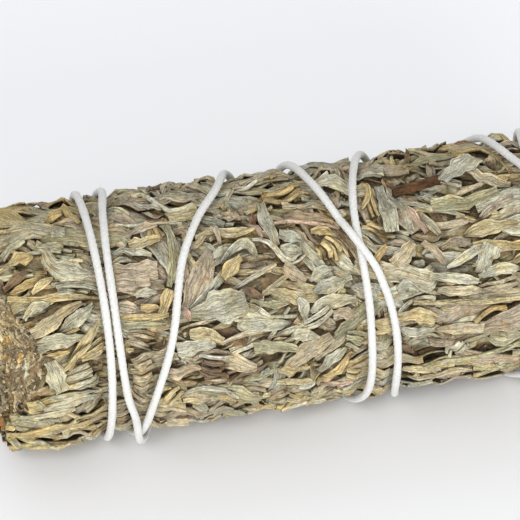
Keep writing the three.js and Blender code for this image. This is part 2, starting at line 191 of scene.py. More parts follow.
def sweep(path, radii, sides, twist=0.0, lobes=3, depth=0.0):
    """A closed tube along path, lobed like plies that turn by twist radians a millimetre."""
    tangent = np.gradient(path, axis=0)
    tangent /= np.linalg.norm(tangent, axis=1, keepdims=True)
    across = unit(np.cross(tangent[0], ANY_WAY))
    frames = np.empty((len(path), 2, 3))
    for n, direction in enumerate(tangent):
        across = unit(across - direction * across.dot(direction))
        frames[n] = across, np.cross(direction, across)
    run = np.concatenate([[0], np.cumsum(np.linalg.norm(np.diff(path, axis=0), axis=1))])
    around = np.arange(sides) * 2 * np.pi / sides
    lobe = 1 - depth * (0.5 - 0.5 * np.cos(lobes * (around[None] - twist * run[:, None])))
    radius = np.broadcast_to(radii, len(path))[:, None] * lobe
    ring = (np.cos(around)[None, :, None] * frames[:, None, 0]
            + np.sin(around)[None, :, None] * frames[:, None, 1])
    points = (path[:, None] + ring * radius[..., None]).reshape(-1, 3)
    return points, *tube_faces(len(path), sides)


# ---- materials

class Nodes:
    """A short way to write a material's nodes."""

    def __init__(self, name):
        self.material = bpy.data.materials.new(name)
        self.material.use_nodes = True
        self.tree = self.material.node_tree
        self.shader = self.tree.nodes["Principled BSDF"]

    def put(self, node, **inputs):
        """Sets or links inputs, named with _ for a space, or by _ and their number."""
        for key, value in inputs.items():
            key = int(key[1:]) if key[0] == "_" else key.replace("_", " ")
            if isinstance(value, bpy.types.NodeSocket):
                self.tree.links.new(value, node.inputs[key])
            else:
                node.inputs[key].default_value = value
        return node

    def add(self, kind, **inputs):
        return self.put(self.tree.nodes.new("ShaderNode" + kind), **inputs)

    def math(self, operation, value, *others):
        """The operation on all the values in turn."""
        for other in others:
            node = self.add("Math", _0=value, _1=other)
            node.operation = operation
            value = node.outputs[0]
        return value

    def mix(self, kind, factor, a, b):
        node = self.add("Mix")
        node.data_type = "RGBA"
        node.blend_type = kind
        return self.put(node, _0=factor, _6=a, _7=b).outputs[2]

    def noise(self, vector, scale, detail=3.0, roughness=0.55):
        return self.add("TexNoise", Vector=vector, Scale=scale, Detail=detail,
                        Roughness=roughness).outputs["Fac"]

    def remap(self, value, low, high, to_low=0.0, to_high=1.0):
        return self.add("MapRange", Value=value, From_Min=low, From_Max=high, To_Min=to_low,
                        To_Max=to_high).outputs["Result"]

    def bump(self, height, distance):
        return self.add("Bump", Height=height, Distance=distance, Strength=1.0).outputs["Normal"]

    def look(self, **inputs):
        """The material, once its shader has these inputs."""
        self.put(self.shader, **inputs)
        return self.material


def linear(red, green, blue, alpha=1.0):
    """An sRGB colour of 0 to 255 as linear light."""
    def one(c):
        c /= 255
        return c / 12.92 if c <= 0.04045 else ((c + 0.055) / 1.055) ** 2.4
    return (one(red), one(green), one(blue), alpha)


MOTTLES = (     # noise scale, where it starts and is full, how strong, and the colour cast
    (240, 0.48, 0.66, 0.6, (253, 240, 204)), (430, 0.52, 0.64, 0.6, (224, 231, 230)),
    (700, 0.54, 0.68, 0.5, (228, 202, 160)), (1500, 0.58, 0.7, 0.6, (176, 146, 112)),
)


def leaf_material(name):
    """Felted dry leaf: tinted by its colour attribute, painted shade and highlight included, with
    ribs along it, mottling, hairs and painted shade in its creases.
    """
    m = Nodes(name)
    tint = m.add("Attribute")
    tint.attribute_name = "Tint"
    blade = m.add("UVMap")
    blade.uv_map = "Blade"
    split = m.add("SeparateXYZ", Vector=blade.outputs["UV"])
    here = m.add("TexCoord").outputs["Object"]

    def drawn_out(share):
        """Coordinates of which only a share of the length along the blade counts."""
        return m.add("CombineXYZ", X=m.math("MULTIPLY", split.outputs["X"], share),
                     Y=split.outputs["Y"]).outputs[0]

    ribs = m.noise(drawn_out(0.12), 2.5, 3.0, 0.65)
    blotches = m.noise(here, 520, 4.0, 0.6)
    felt = m.noise(here, 3000, 4.0, 0.7)
    folds = m.noise(drawn_out(0.16), 1.1, 3.0, 0.6)
    crease = m.math("ABSOLUTE", m.math("SUBTRACT", folds, 0.5), 0.0)
    warp = m.add("TexNoise", Vector=here, Scale=700.0, Detail=2.0).outputs["Color"]
    crumpled = m.mix("MIX", 0.45, drawn_out(0.4), warp)
    facets = m.add("TexVoronoi", Vector=crumpled, Scale=1.5)
    painted_wrinkle_shade = m.add("TexVoronoi", Vector=crumpled, Scale=1.5)
    painted_wrinkle_shade.feature = "DISTANCE_TO_EDGE"
    # painted shade: dark lines along the creases and the wrinkles; ribs, blotches and felt are the
    # leaf's own tone
    shade = m.math("MULTIPLY", m.remap(ribs, 0.34, 0.64, 0.86, 1.07),
                   m.remap(blotches, 0.3, 0.7, 0.84, 1.13), m.remap(felt, 0.3, 0.7, 0.86, 1.14),
                   m.remap(crease, 0.0, 0.035, 0.68, 1.03),
                   m.remap(painted_wrinkle_shade.outputs["Distance"], 0.0, 0.05, 0.7, 1.02))
    grey = m.add("CombineXYZ", X=shade, Y=shade, Z=shade).outputs[0]
    colour = m.mix("MULTIPLY", 1.0, tint.outputs["Color"], grey)
    for scale, low, high, most, cast in MOTTLES:
        amount = m.remap(m.noise(here, scale), low, high, 0.0, most)
        colour = m.mix("MIX", amount, colour, m.mix("MULTIPLY", 1.0, colour, linear(*cast)))
    relief = m.math("ADD", ribs, m.math("MULTIPLY", felt, 0.35),
                    m.remap(crease, 0.0, 0.1, 0.0, 0.8),
                    m.math("MULTIPLY", facets.outputs["Distance"], 1.7))
    return m.look(Base_Color=colour, Normal=m.bump(relief, 0.0004), Roughness=0.88,
                  Specular_IOR_Level=0.18, Sheen_Weight=0.1, Sheen_Roughness=0.5)


def plain_material(name, dark, light, scale, roughness, bump, stretch=(1, 1, 1)):
    """Two tones mixed by noise, with a fine relief."""
    m = Nodes(name)
    here = m.add("TexCoord").outputs["Object"]
    here = m.add("Mapping", Vector=here, Scale=stretch).outputs[0]
    tone = m.remap(m.noise(here, scale, 5.0, 0.62), 0.3, 0.7)
    return m.look(Base_Color=m.mix("MIX", tone, linear(*dark), linear(*light)),
                  Normal=m.bump(m.noise(here, scale * 3, 4.0), bump), Roughness=roughness,
                  Specular_IOR_Level=0.25)


def cotton_material(name):
    m = Nodes(name)
    here = m.add("TexCoord").outputs["Object"]
    hairs = m.noise(here, 2600, 5.0, 0.7)
    tone = m.remap(hairs, 0.3, 0.7)
    colour = m.mix("MIX", tone, linear(199, 198, 194), linear(226, 225, 221))
    soiled = m.remap(m.noise(here, 420), 0.35, 0.75, 0.0, 0.25)
    return m.look(Base_Color=m.mix("MULTIPLY", soiled, colour, linear(240, 237, 228)),
                  Normal=m.bump(hairs, 0.00008), Roughness=0.9, Sheen_Weight=0.3)


# ---- where the leaves run

# Stretches where the leaves don't run along the roll: x, turn, tilt, reach.
SWEEPS = [
    (-43, -12, 34, 10), (-26, -18, 28, 9), (-26, 22, 84, 4.5), (-43, 47, -18, 8),
    (-5, 30, 48, 7), (7, 5, 66, 8), (-8, 90, -52, 6), (33, 55, 26, 8),
    (12, 205, -30, 10), (-20, 250, 32, 11), (36, 280, -36, 9),
]
WANDER = 9.0      # degrees by which the leaves sway elsewhere


def sweep_tilt(x, turn):
    tilt = 0.0
    for at, round_at, angle, reach in SWEEPS:
        away = math.hypot(x - at, math.radians(float(between(turn, round_at))) * SKIN_RADIUS)
        tilt += angle * math.exp(-((away / reach) ** 2))
    return tilt + WANDER * math.sin(x * 0.19 + math.sin(math.radians(turn * 2)) * 1.7)


# ---- the pile: a height over the unrolled skin, leaf laid on leaf

CELL = 0.25
ROWS = int(round(GIRTH / CELL))
COLUMNS = int(round(LENGTH / CELL))
CELL_X = ((np.arange(COLUMNS) + 0.5) * CELL - HALF)[:, None]
pile = np.zeros((COLUMNS, ROWS))


def cells(x, round_mm):
    column = np.clip(((x + HALF) / CELL).astype(int), 0, COLUMNS - 1)
    row = (round_mm / GIRTH * ROWS).astype(int) % ROWS
    return column, row


def cells_under(flat):
    return cells(flat[..., 0], flat[..., 1])


def leaf_ends(turn):
    """How far the leaves reach towards each end: ragged, and bitten back at the base."""
    ragged = 0.45 * np.sin(np.radians(turn) * 7) + 0.3 * np.sin(np.radians(turn) * 17 + 1)
    reach = HALF - 0.8 + ragged
    return -(reach - base_setback(turn)), reach


def inside_roll():
    low, high = leaf_ends(np.arange(ROWS) * 360 / ROWS)
    return (CELL_X > low) & (CELL_X < high)


INSIDE = inside_roll()
GRIDS = {"fine": (10, 8), "plain": (8, 4), "low": (6, 2), "sliver": (8, 2)}     # along, across
SAMPLES = (36, 9)
KINDS = {
    "flat": dict(wide=(1.6, 2.8), long=(6.5, 12), thick=0.26),
    "broad": dict(wide=(2.1, 3.6), long=(7, 13), thick=0.28),
    "folded": dict(wide=(0.9, 1.6), long=(6, 11), thick=0.32),
    "rolled": dict(wide=(0.65, 1.2), long=(4.5, 9), thick=0.42),
    "crumpled": dict(wide=(1.5, 2.8), long=(2.8, 5.5), thick=0.26),
    "strip": dict(wide=(0.5, 0.85), long=(4.5, 9), thick=0.4),
    "stalk": dict(wide=(0.4, 0.7), long=(8, 17), thick=0.45),
    "flake": dict(wide=(0.6, 1.3), long=(1.0, 2.4), thick=0.24),
}
SOFT = ("flat", "broad", "crumpled", "flake")      # kinds that drape over what they lie on
SLIM = ("rolled", "strip", "stalk")
REST = {"on_mean": 0.4, "blur": 9, "drape": 0.5}   # how a piece settles on the pile under it


def outline(kind, t, draw):
    """Half width, as a share of the full one, at shares t of the length."""
    if kind in ("stalk", "strip"):
        return 0.55 + 0.45 * np.sin(np.pi * np.clip(t, 0.04, 0.96)) ** 0.5
    if kind == "flake":
        return 0.45 + 0.55 * np.sin(np.pi * t) ** 0.6
    body = np.sin(np.pi * t ** draw["slim"]) ** 0.5
    return np.maximum(body, np.where(t < 0.5, draw["stub"], draw["tip"]))


def relief(kind, u, v, wide, draw):
    """Height of a piece over the surface it lies on: u along and v across, both from -1 to 1."""
    phase = draw["phase"]
    wave = draw["wave"] * np.sin(draw["waves"] * u + phase) * (0.4 + 0.6 * np.abs(v))
    lift = draw["lift"] * np.clip(u, 0, 1) ** 2 + draw["drop"] * np.clip(-u, 0, 1) ** 2
    wander = v + 0.14 * np.sin(3.1 * u + phase)
    ribs = draw["rib"] * np.cos(np.pi * draw["ribs"] * wander + phase) * (1 - 0.4 * u * u)
    if kind in ("flat", "broad"):
        creases = np.sin(7.1 * u + 2.6 * v + 2 * phase) + 0.8 * np.sin(11.3 * u - 4.3 * v + phase)
        keel = draw["fold"] * np.abs(v) ** 1.2 * wide * 0.5
        return keel + ribs + wave + lift + 0.95 * draw["wave"] * creases
    if kind == "folded":
        return 0.36 * wide * (1 - v) + 0.12 * (1 - v * v) + 0.6 * ribs + 0.6 * wave + lift
    if kind in SLIM:
        return 0.5 * wide * np.sqrt(np.clip(1.02 - v * v, 0, 1)) * draw["round"] + 0.5 * wave + lift
    if kind == "crumpled":
        crease = 0.22 * np.sin(5.5 * u + 2.2 * v + phase) + 0.13 * np.sin(9 * u - 4 * v)
        return crease + ribs + draw["fold"] * np.abs(v) * wide * 0.4 + lift
    return draw["fold"] * v * 0.5 + lift


def bent_line(x, round_mm, tilt, long, bend):
    """A leaf's centre line: bend is how far its heading turns from the middle to an end."""
    heading = math.radians(tilt) + bend * np.linspace(-1, 1, SAMPLES[0])
    line = np.stack([np.cos(heading), np.sin(heading)], -1) * (long / (SAMPLES[0] - 1))
    centre = np.cumsum(line, axis=0)
    return centre + np.array([x, round_mm]) - centre[SAMPLES[0] // 2]


def line_through(places):
    """A smooth centre line through a few places."""
    run = np.concatenate([[0], np.cumsum(np.hypot(*np.diff(places, axis=0).T))])
    slope = np.gradient(places, run, axis=0)
    return smooth_through(run, places, slope, np.linspace(0, run[-1], SAMPLES[0]))


def spread_out(field, blend):
    """blend of each sample and those around it."""
    wide = np.pad(field, ((2, 2), (1, 1)), mode="edge")
    rows, columns = field.shape
    return blend([wide[a:a + rows, b:b + columns] for a in range(5) for b in range(3)], axis=0)


def lay(kind, centre, wide, tint, grid="plain", **fixed):
    """Lays one piece along its centre line on the pile."""
    thick = KINDS[kind]["thick"]
    draw = dict(
        wave=rng.uniform(0.03, 0.16), waves=rng.uniform(2, 6), phase=rng.uniform(0, 6.28),
        lift=rng.choice([0.0, 0.2, 0.6]) * rng.uniform(0.3, 1.3), drop=rng.uniform(-0.35, 0.05),
        fold=rng.uniform(-0.5, 0.45), round=rng.uniform(0.8, 1.3), slim=rng.uniform(0.7, 1.2),
        rib=rng.uniform(0.03, 0.11), ribs=rng.integers(2, 5),
        stub=rng.choice([0.3, 0.6, 0.8]), tip=rng.choice([0.08, 0.4, 0.6]),
        ragged=rng.uniform(0.06, 0.26), fade=rng.uniform(-0.16, 0.16), age=rng.uniform(0, 0.25),
    )
    draw.update(fixed)
    t = np.linspace(0, 1, SAMPLES[0])
    v = np.linspace(-1, 1, SAMPLES[1])
    ahead = np.gradient(centre, axis=0)
    step = np.hypot(*ahead.T)
    half = 0.5 * wide * outline(kind, t, draw)
    side = np.stack([-ahead[:, 1], ahead[:, 0]], -1) / step[:, None]
    ragged, t = draw["ragged"], t[:, None]
    edge = 1 + ragged * np.sin(7 * t + draw["phase"] + 2.6 * np.sign(v))
    if kind in SOFT:
        edge = edge + 0.6 * ragged * np.sin(19 * t + 3 * draw["phase"] + 1.9 * np.sign(v))
    flat = centre[:, None] + side[:, None] * (half[:, None] * v * edge)[..., None]
    low, high = leaf_ends(turn_of(flat[..., 1]))
    past, short = np.max(flat[..., 0] - high), np.max(low - flat[..., 0])
    flat[..., 0] += max(short, 0) - max(past, 0)
    column, row = cells_under(flat)
    under = pile[column, row]
    rest = REST["on_mean"] * under.mean(axis=1) + (1 - REST["on_mean"]) * under.max(axis=1)
    rest = np.pad(rest, REST["blur"] // 2, mode="edge")
    rest = np.convolve(rest, np.ones(REST["blur"]) / REST["blur"], mode="valid")
    height = rest[:, None] + relief(kind, 2 * t - 1, v[None], wide, draw)
    drape = spread_out(spread_out(under, np.max), np.mean) if kind in SOFT else under
    height += REST["drape"] * np.maximum(0, drape - height) + thick * 0.5
    for on, beside in ((0, 0), (1, 0), (0, 1)):
        spot = np.minimum(column + on, COLUMNS - 1), (row + beside) % ROWS
        np.maximum.at(pile, spot, height)
    along, across = GRIDS[grid]
    rows = np.linspace(0, SAMPLES[0] - 1, along + 1).round().astype(int)
    cols = np.linspace(0, SAMPLES[1] - 1, across + 1).round().astype(int)
    return dict(grid=(along, across), thick=thick, tint=tint, draw=draw, size=(step.sum(), wide),
                flat=flat[np.ix_(rows, cols)], height=height[np.ix_(rows, cols)])


# ---- colours

TINTS = {name: np.array(linear(*c)[:3]) for name, c in dict(
    grey=(204, 201, 178), beige=(213, 200, 168), warm=(205, 189, 163), straw=(222, 206, 161),
    ochre=(211, 188, 137), olive=(194, 188, 152), pale=(220, 216, 192), brown=(152, 128, 102),
    tan=(197, 174, 139), gold=(225, 203, 150), pink=(212, 184, 163), rust=(168, 127, 95),
    white=(228, 224, 204),
).items()}
DRAWN_TINTS = ("grey", "beige", "warm", "straw", "ochre", "olive", "pale", "brown", "tan", "white")
SHARES = dict(      # of each kind of piece, in the order of DRAWN_TINTS
    flat=(28, 30, 14, 8, 1, 6, 7, 2, 4, 1),
    broad=(32, 32, 14, 6, 0, 5, 8, 0, 3, 1),
    folded=(22, 30, 12, 13, 3, 6, 8, 1, 5, 1),
    rolled=(18, 28, 12, 15, 4, 6, 10, 2, 5, 1),
    crumpled=(26, 28, 16, 8, 3, 8, 6, 3, 4, 1),
    strip=(16, 26, 10, 20, 6, 7, 10, 1, 5, 2),
    stalk=(8, 22, 18, 22, 7, 6, 10, 5, 6, 2),
    flake=(22, 24, 12, 12, 6, 8, 8, 6, 8, 2),
)


def tint_for(kind, x, round_mm):
    """A leaf colour, drawn so that like colours gather in patches."""
    patch = math.sin(x * 0.23 + 1.3 * math.sin(round_mm * 0.17)) * 0.5 + 0.5
    weights = np.array(SHARES[kind], float)
    weights *= np.where(np.arange(len(weights)) == 0, 0.5 + patch, 1.5 - patch * 0.7)
    pick = DRAWN_TINTS[rng.choice(len(weights), p=weights / weights.sum())]
    return TINTS[pick] * rng.uniform(0.84, 1.08) * rng.uniform(0.985, 1.015, 3)


# ---- laying the leaves

STREWN = [      # kind, how many, spread of their directions, grid and, in the depth, a darker tint as painted shade
    ("flat", 460, 16, "low", 0.66), ("folded", 320, 18, "low", 0.74),
    ("stalk", 80, 14, "sliver", 0.8),
    ("pleats", 60), ("flat", 420, 13, "plain"), ("rolled", 280, 22, "sliver"),
    ("folded", 400, 16, "plain"), ("crumpled", 240, 30, "plain"), ("stalk", 80, 12, "sliver"),
    ("pleats", 80), ("broad", 310, 14, "fine"), ("rolled", 240, 20, "sliver"),
    ("crumpled", 200, 30, "fine"), ("folded", 250, 15, "plain"), ("pleats", 50),
    ("broad", 150, 14, "fine"), ("strip", 260, 18, "sliver"), ("flake", 420, 40, "low"),
]


def low_spot(tries):
    """The lowest of a few random places on the pile."""
    x = rng.uniform(-HALF, HALF, tries)
    round_mm = rng.uniform(0, GIRTH, tries)
    heights = FREE * ~INSIDE[cells(x, round_mm)]
    for dx, dr in ((0, 0), (1.4, 0), (-1.4, 0), (0, 0.8), (0, -0.8)):
        heights = heights + pile[cells(x + dx, round_mm + dr)]
    best = int(np.argmin(heights))
    return x[best], round_mm[best]


def strew(kind, count, spread, grid, shade=1.0):
    make = KINDS[kind]
    laid = []
    for _ in range(count):
        x, round_mm = low_spot(5)
        tilt = sweep_tilt(x, float(turn_of(round_mm))) + rng.normal(0, spread)
        tilt += 180 * (rng.random() < 0.45)
        bend = rng.normal(0, 0.22) * (2.2 if kind in ("rolled", "strip", "crumpled") else 1)
        centre = bent_line(x, round_mm, tilt, rng.uniform(*make["long"]), bend)
        # a shade under 1 darkens the deepest layers as painted shade
        laid.append(lay(kind, centre, rng.uniform(*make["wide"]),
                        tint_for(kind, x, round_mm) * shade, grid))
    return laid


def pleats(centre, strips, wide, tint, spread=0.25):
    """Pleats of a crumpled leaf: narrow strips side by side that spread out along one line."""
    ahead = np.gradient(centre, axis=0)
    side = np.stack([-ahead[:, 1], ahead[:, 0]], -1) / np.hypot(*ahead.T)[:, None]
    laid = []
    for n in [*range(0, strips, 2), *range(1, strips, 2)]:
        opening = 0.98 * wide * (1 + spread * np.linspace(-1, 1, SAMPLES[0]))
        line = centre + side * ((n - (strips - 1) / 2) * opening)[:, None]
        skip, stop = rng.integers(0, 5, 2)
        line = line_through(line[skip:SAMPLES[0] - stop:8])
        laid.append(lay("strip", line, wide * rng.uniform(0.8, 1.1), tint * rng.uniform(0.82, 1.12),
                        "sliver", lift=0.1, wave=0.03))
    return laid


def strew_pleats(count):
    laid = []
    for _ in range(count):
        x, round_mm = low_spot(8)
        tilt = sweep_tilt(x, float(turn_of(round_mm))) + rng.normal(0, 26)
        centre = bent_line(x, round_mm, tilt, rng.uniform(4.5, 8), rng.normal(0, 0.5))
        laid += pleats(centre, int(rng.integers(3, 7)), rng.uniform(0.55, 0.85),
                       tint_for("strip", x, round_mm))
    return laid


def strew_all():
    laid = []
    for kind, *how in STREWN:
        laid += strew_pleats(*how) if kind == "pleats" else strew(kind, *how)
    return laid


# ---- leaves that catch the eye

# Each is read from the photograph: kind, tint, width in millimetres, and the pixels, each
# across and down, that its middle line runs through. on_roll() puts them on the roll itself.
LEAVES = dict(
    # left of the first winding
    base_top=("flat", "beige", 1.9, 44, 194, 60, 193, 78, 197),
    base_roof_left=("folded", "gold", 1.1, 46, 222, 54, 215, 63, 208),
    base_roof_right=("folded", "gold", 1.1, 62, 208, 70, 212, 79, 219),
    base_blunt=("crumpled", "grey", 1.9, 50, 231, 57, 230, 65, 230),
    base_grey_long=("flat", "grey", 1.2, 28, 240, 38, 244, 48, 252, 61, 259),
    base_grey_upper=("flat", "grey", 1.3, 36, 242, 50, 244, 63, 248),
    base_arc=("folded", "grey", 0.9, 2, 258, 10, 248, 24, 241),
    base_curl=("crumpled", "straw", 1.9, 8, 264, 18, 259, 32, 254),
    base_wide_pale=("broad", "pale", 3.3, 45, 251, 54, 263, 72, 269, 94, 271),
    base_dark=("flat", "brown", 1.3, 4, 287, 15, 280, 29, 271),
    base_ochre=("flat", "ochre", 1.2, 10, 292, 26, 286, 41, 278),
    base_straw_fold=("folded", "straw", 1.0, 32, 293, 42, 285, 53, 278),
    base_straw_long=("flat", "straw", 1.1, 4, 298, 30, 300, 58, 297, 88, 297),
    base_end=("flat", "pale", 1.4, 24, 319, 33, 309, 50, 303),
    slope_beige=("broad", "beige", 2.0, 32, 336, 49, 324, 65, 311, 81, 303),
    slope_grey=("broad", "grey", 1.8, 60, 333, 76, 320, 94, 303),
    slope_low_grey=("broad", "grey", 2.0, 38, 346, 60, 341, 86, 337),
    slope_straw=("broad", "straw", 1.4, 68, 370, 80, 351, 91, 335, 101, 321),
    slope_straw_rib=("folded", "straw", 0.9, 58, 378, 74, 360, 90, 344),
    corner_gold=("flat", "gold", 1.0, 43, 367, 55, 358, 70, 352),
    corner_pale=("broad", "pale", 2.6, 45, 366, 50, 379, 57, 393),
    under_grey=("flat", "grey", 1.1, 50, 403, 74, 396, 100, 392),
    under_pale=("broad", "pale", 1.5, 44, 411, 68, 404, 98, 397),
    under_pale_long=("flat", "pale", 1.3, 10, 425, 34, 418, 64, 411),
    under_beige=("flat", "beige", 1.3, 62, 432, 86, 425, 112, 419),
    under_straw=("flat", "straw", 1.5, 8, 440, 34, 435, 62, 428, 92, 421),
    # round the left-hand windings
    crest_beige=("flat", "beige", 1.7, 107, 191, 128, 188, 148, 188),
    crest_pale=("flat", "pale", 1.3, 138, 184, 151, 188, 166, 196),
    spike=("rolled", "brown", 1.0, 150, 190, 153, 181, 160, 174),
    wave_pale=("strip", "pale", 0.75, 131, 197, 142, 194, 152, 199, 164, 206, 202, 200),
    crest_middle=("flat", "beige", 1.3, 160, 198, 178, 199, 202, 193),
    crest_fold=("folded", "beige", 1.1, 161, 188, 170, 183, 181, 185),
    crest_right=("flat", "beige", 1.5, 184, 183, 196, 186, 210, 189),
    crest_edge=("flat", "beige", 1.2, 184, 181, 202, 178, 220, 177),
    left_grey=("flat", "grey", 1.0, 134, 201, 146, 203, 161, 208),
    left_blunt=("broad", "straw", 2.1, 168, 214, 182, 211, 198, 206),
    left_crumple=("crumpled", "warm", 1.5, 172, 226, 182, 226, 193, 224),
    left_warm=("flat", "warm", 1.3, 128, 229, 142, 227, 157, 226),
    left_straw=("broad", "straw", 1.8, 129, 243, 145, 241, 160, 240),
    left_stalk=("stalk", "pale", 0.4, 106, 222, 138, 222, 164, 220, 182, 222),
    left_pale=("flat", "pale", 1.1, 112, 252, 130, 250, 152, 254),
    left_wide=("broad", "warm", 2.5, 112, 268, 134, 269, 158, 268),
    left_wide_low=("broad", "warm", 2.4, 112, 281, 132, 281, 150, 279),
    left_small_pale=("flat", "pale", 1.2, 136, 295, 146, 292, 158, 292),
    left_short=("flat", "warm", 1.5, 117, 304, 130, 307, 142, 311),
    left_ochre=("folded", "ochre", 1.3, 141, 308, 150, 308, 159, 308),
    upright_olive=("broad", "olive", 1.6, 166, 224, 172, 241, 174, 262, 170, 286),
    upright_gold=("folded", "gold", 1.8, 171, 289, 166, 303, 159, 318),
    bar_gold=("flat", "gold", 1.2, 121, 319, 145, 318, 169, 315),
    bar_olive=("flat", "olive", 1.0, 120, 327, 145, 325, 167, 325),
    # between the rising winding and the crossing
    rise_warm=("broad", "warm", 3.3, 189, 310, 196, 290, 204, 269, 209, 248),
    rise_grey=("broad", "grey", 1.4, 192, 310, 205, 297, 218, 281, 230, 263),
    wide_grey=("broad", "grey", 4.2, 191, 313, 208, 311, 226, 305, 246, 298),
    gold_heart=("folded", "gold", 1.9, 223, 279, 231, 268, 241, 257),
    heart_arc=("folded", "grey", 1.2, 221, 263, 232, 250, 248, 242, 258, 254),
    pink_nub=("flat", "pink", 1.0, 182, 306, 187, 313, 190, 322),
    low_straw=("broad", "straw", 2.1, 191, 336, 208, 335, 223, 341),
    low_pale=("broad", "pale", 2.3, 178, 352, 196, 348, 216, 346),
    low_stalk=("strip", "white", 0.45, 199, 356, 215, 358, 233, 357),
    low_warm=("broad", "warm", 1.9, 169, 379, 184, 375, 201, 368),
    low_hook=("flat", "pale", 0.9, 185, 395, 203, 388, 222, 391, 239, 400),
    edge_straw=("flat", "straw", 1.9, 183, 404, 206, 402, 236, 404),
    edge_pink=("flat", "warm", 1.7, 176, 417, 200, 414, 234, 411),
    top_beige=("flat", "beige", 1.2, 231, 188, 245, 181, 262, 177, 276, 178),
    top_beige_right=("flat", "beige", 1.2, 240, 184, 256, 176, 273, 174, 292, 175),
    top_grey=("flat", "grey", 1.0, 262, 190, 276, 187, 291, 182),
    middle_warm=("flat", "warm", 1.3, 213, 212, 226, 213, 241, 217),
    rust_flake=("crumpled", "rust", 0.9, 252, 211, 253, 217, 253, 223),
    pink_bend=("strip", "pink", 0.75, 249, 221, 256, 228, 263, 237),
    ribbed_grey=("broad", "grey", 2.1, 260, 203, 267, 222, 277, 243),
    tan_leaf=("broad", "tan", 1.7, 284, 212, 305, 213, 334, 218),
    tan_leaf_upper=("flat", "beige", 1.0, 282, 205, 300, 203, 327, 204),
    pink_stalk=("stalk", "pink", 0.6, 274, 222, 300, 221, 339, 224),
    crumple_upper=("crumpled", "grey", 1.9, 279, 233, 292, 235, 304, 240),
    crumple_lower=("crumpled", "grey", 2.6, 280, 248, 290, 251, 302, 250),
    twisted=("rolled", "white", 0.75, 252, 239, 265, 240, 276, 247, 283, 258, 292, 264, 305, 255),
    ochre_cap=("flat", "ochre", 1.2, 311, 229, 325, 229, 340, 237),
    warm_middle=("flat", "warm", 1.9, 283, 267, 295, 274, 307, 281),
    crumple_right=("crumpled", "grey", 1.5, 311, 281, 321, 271, 332, 268),
    pale_rise=("broad", "pale", 2.1, 315, 292, 332, 285, 353, 276),
    straw_middle=("broad", "straw", 1.9, 270, 290, 288, 295, 304, 304),
    pale_drop=("broad", "pale", 1.6, 299, 298, 305, 308, 306, 321),
    dark_nub=("crumpled", "brown", 1.3, 242, 289, 252, 292, 263, 297),
    olive_nub=("flat", "olive", 1.1, 252, 300, 268, 305, 291, 303),
    pale_long=("broad", "pale", 2.1, 312, 313, 328, 303, 357, 299),
    grey_low=("broad", "grey", 2.1, 238, 327, 265, 326, 293, 325),
    pale_rib=("strip", "pale", 0.75, 304, 323, 318, 317, 329, 307),
    pale_rib_low=("strip", "pale", 0.75, 305, 330, 321, 323, 333, 310),
    warm_crumple=("crumpled", "warm", 1.9, 333, 314, 344, 314, 355, 318),
    olive_low=("broad", "olive", 2.1, 255, 350, 275, 347, 299, 350),
    pale_low=("broad", "pale", 1.9, 293, 340, 305, 336, 319, 339),
    straw_low=("flat", "straw", 1.4, 279, 373, 295, 372, 311, 374),
    straw_lower=("flat", "straw", 1.4, 277, 383, 295, 382, 313, 382),
    grey_rise=("broad", "grey", 1.8, 319, 375, 333, 361, 347, 350),
    gold_rise=("flat", "gold", 1.2, 324, 378, 340, 368, 353, 352),
    pink_low=("flat", "pink", 1.1, 319, 389, 336, 386, 354, 384),
    # right of the crossing
    right_crest=("broad", "beige", 2.2, 362, 161, 376, 154, 400, 151),
    right_blunt=("broad", "pale", 2.0, 359, 174, 370, 171, 383, 170),
    right_olive=("broad", "olive", 2.0, 403, 164, 425, 158, 454, 155),
    chunk_over_twig=("broad", "pale", 3.0, 441, 183, 457, 173, 474, 161),
    white_over_twig=("crumpled", "pale", 2.0, 458, 166, 468, 165, 477, 166),
    curl_over_hollow=("strip", "ochre", 0.9, 451, 153, 475, 147, 492, 148, 503, 158, 511, 170),
    crest_gold=("flat", "gold", 1.3, 480, 136, 496, 134, 516, 136),
    curl_left=("strip", "gold", 0.75, 361, 180, 366, 186, 368, 196, 362, 207),
    smooth_grey=("broad", "grey", 2.4, 379, 182, 387, 205, 393, 231),
    smooth_grey_right=("broad", "grey", 1.8, 387, 182, 402, 202, 411, 229),
    grey_sweep=("flat", "grey", 1.0, 391, 187, 405, 199, 430, 206, 465, 215),
    smooth_olive=("broad", "olive", 2.5, 432, 206, 462, 201, 498, 192),
    right_beige=("broad", "beige", 1.9, 469, 171, 488, 178, 511, 182),
    right_small_pale=("flat", "pale", 1.0, 416, 193, 426, 190, 437, 186),
    right_pink=("flat", "pink", 1.2, 407, 208, 416, 218, 428, 230),
    right_warm=("flat", "warm", 1.3, 481, 215, 497, 205, 513, 196),
    right_straw=("broad", "straw", 2.1, 467, 232, 485, 227, 518, 222),
    right_gold=("flat", "gold", 1.2, 473, 244, 495, 243, 521, 246),
    right_upright=("broad", "beige", 2.5, 394, 264, 404, 255, 414, 243),
    right_ochre=("flat", "ochre", 1.2, 373, 263, 380, 254, 387, 245),
    right_slant=("flat", "warm", 1.3, 424, 240, 438, 253, 451, 267),
    right_grey_rise=("broad", "grey", 2.7, 479, 274, 486, 260, 493, 245),
    right_pale_rise=("broad", "pale", 1.5, 449, 268, 465, 257, 484, 245),
    right_pale_long=("broad", "pale", 1.6, 429, 276, 455, 278, 480, 282),
    right_pale_end=("broad", "pale", 1.8, 480, 277, 498, 270, 520, 268),
    right_beige_long=("flat", "beige", 1.6, 438, 290, 460, 291, 482, 290),
    right_straw_long=("strip", "straw", 0.9, 414, 303, 445, 304, 480, 303, 521, 298),
    right_white=("crumpled", "grey", 1.8, 399, 293, 408, 285, 419, 290),
    right_low_straw=("broad", "straw", 2.1, 399, 319, 418, 316, 437, 320),
    right_low_grey=("flat", "grey", 1.3, 401, 333, 418, 333, 435, 330),
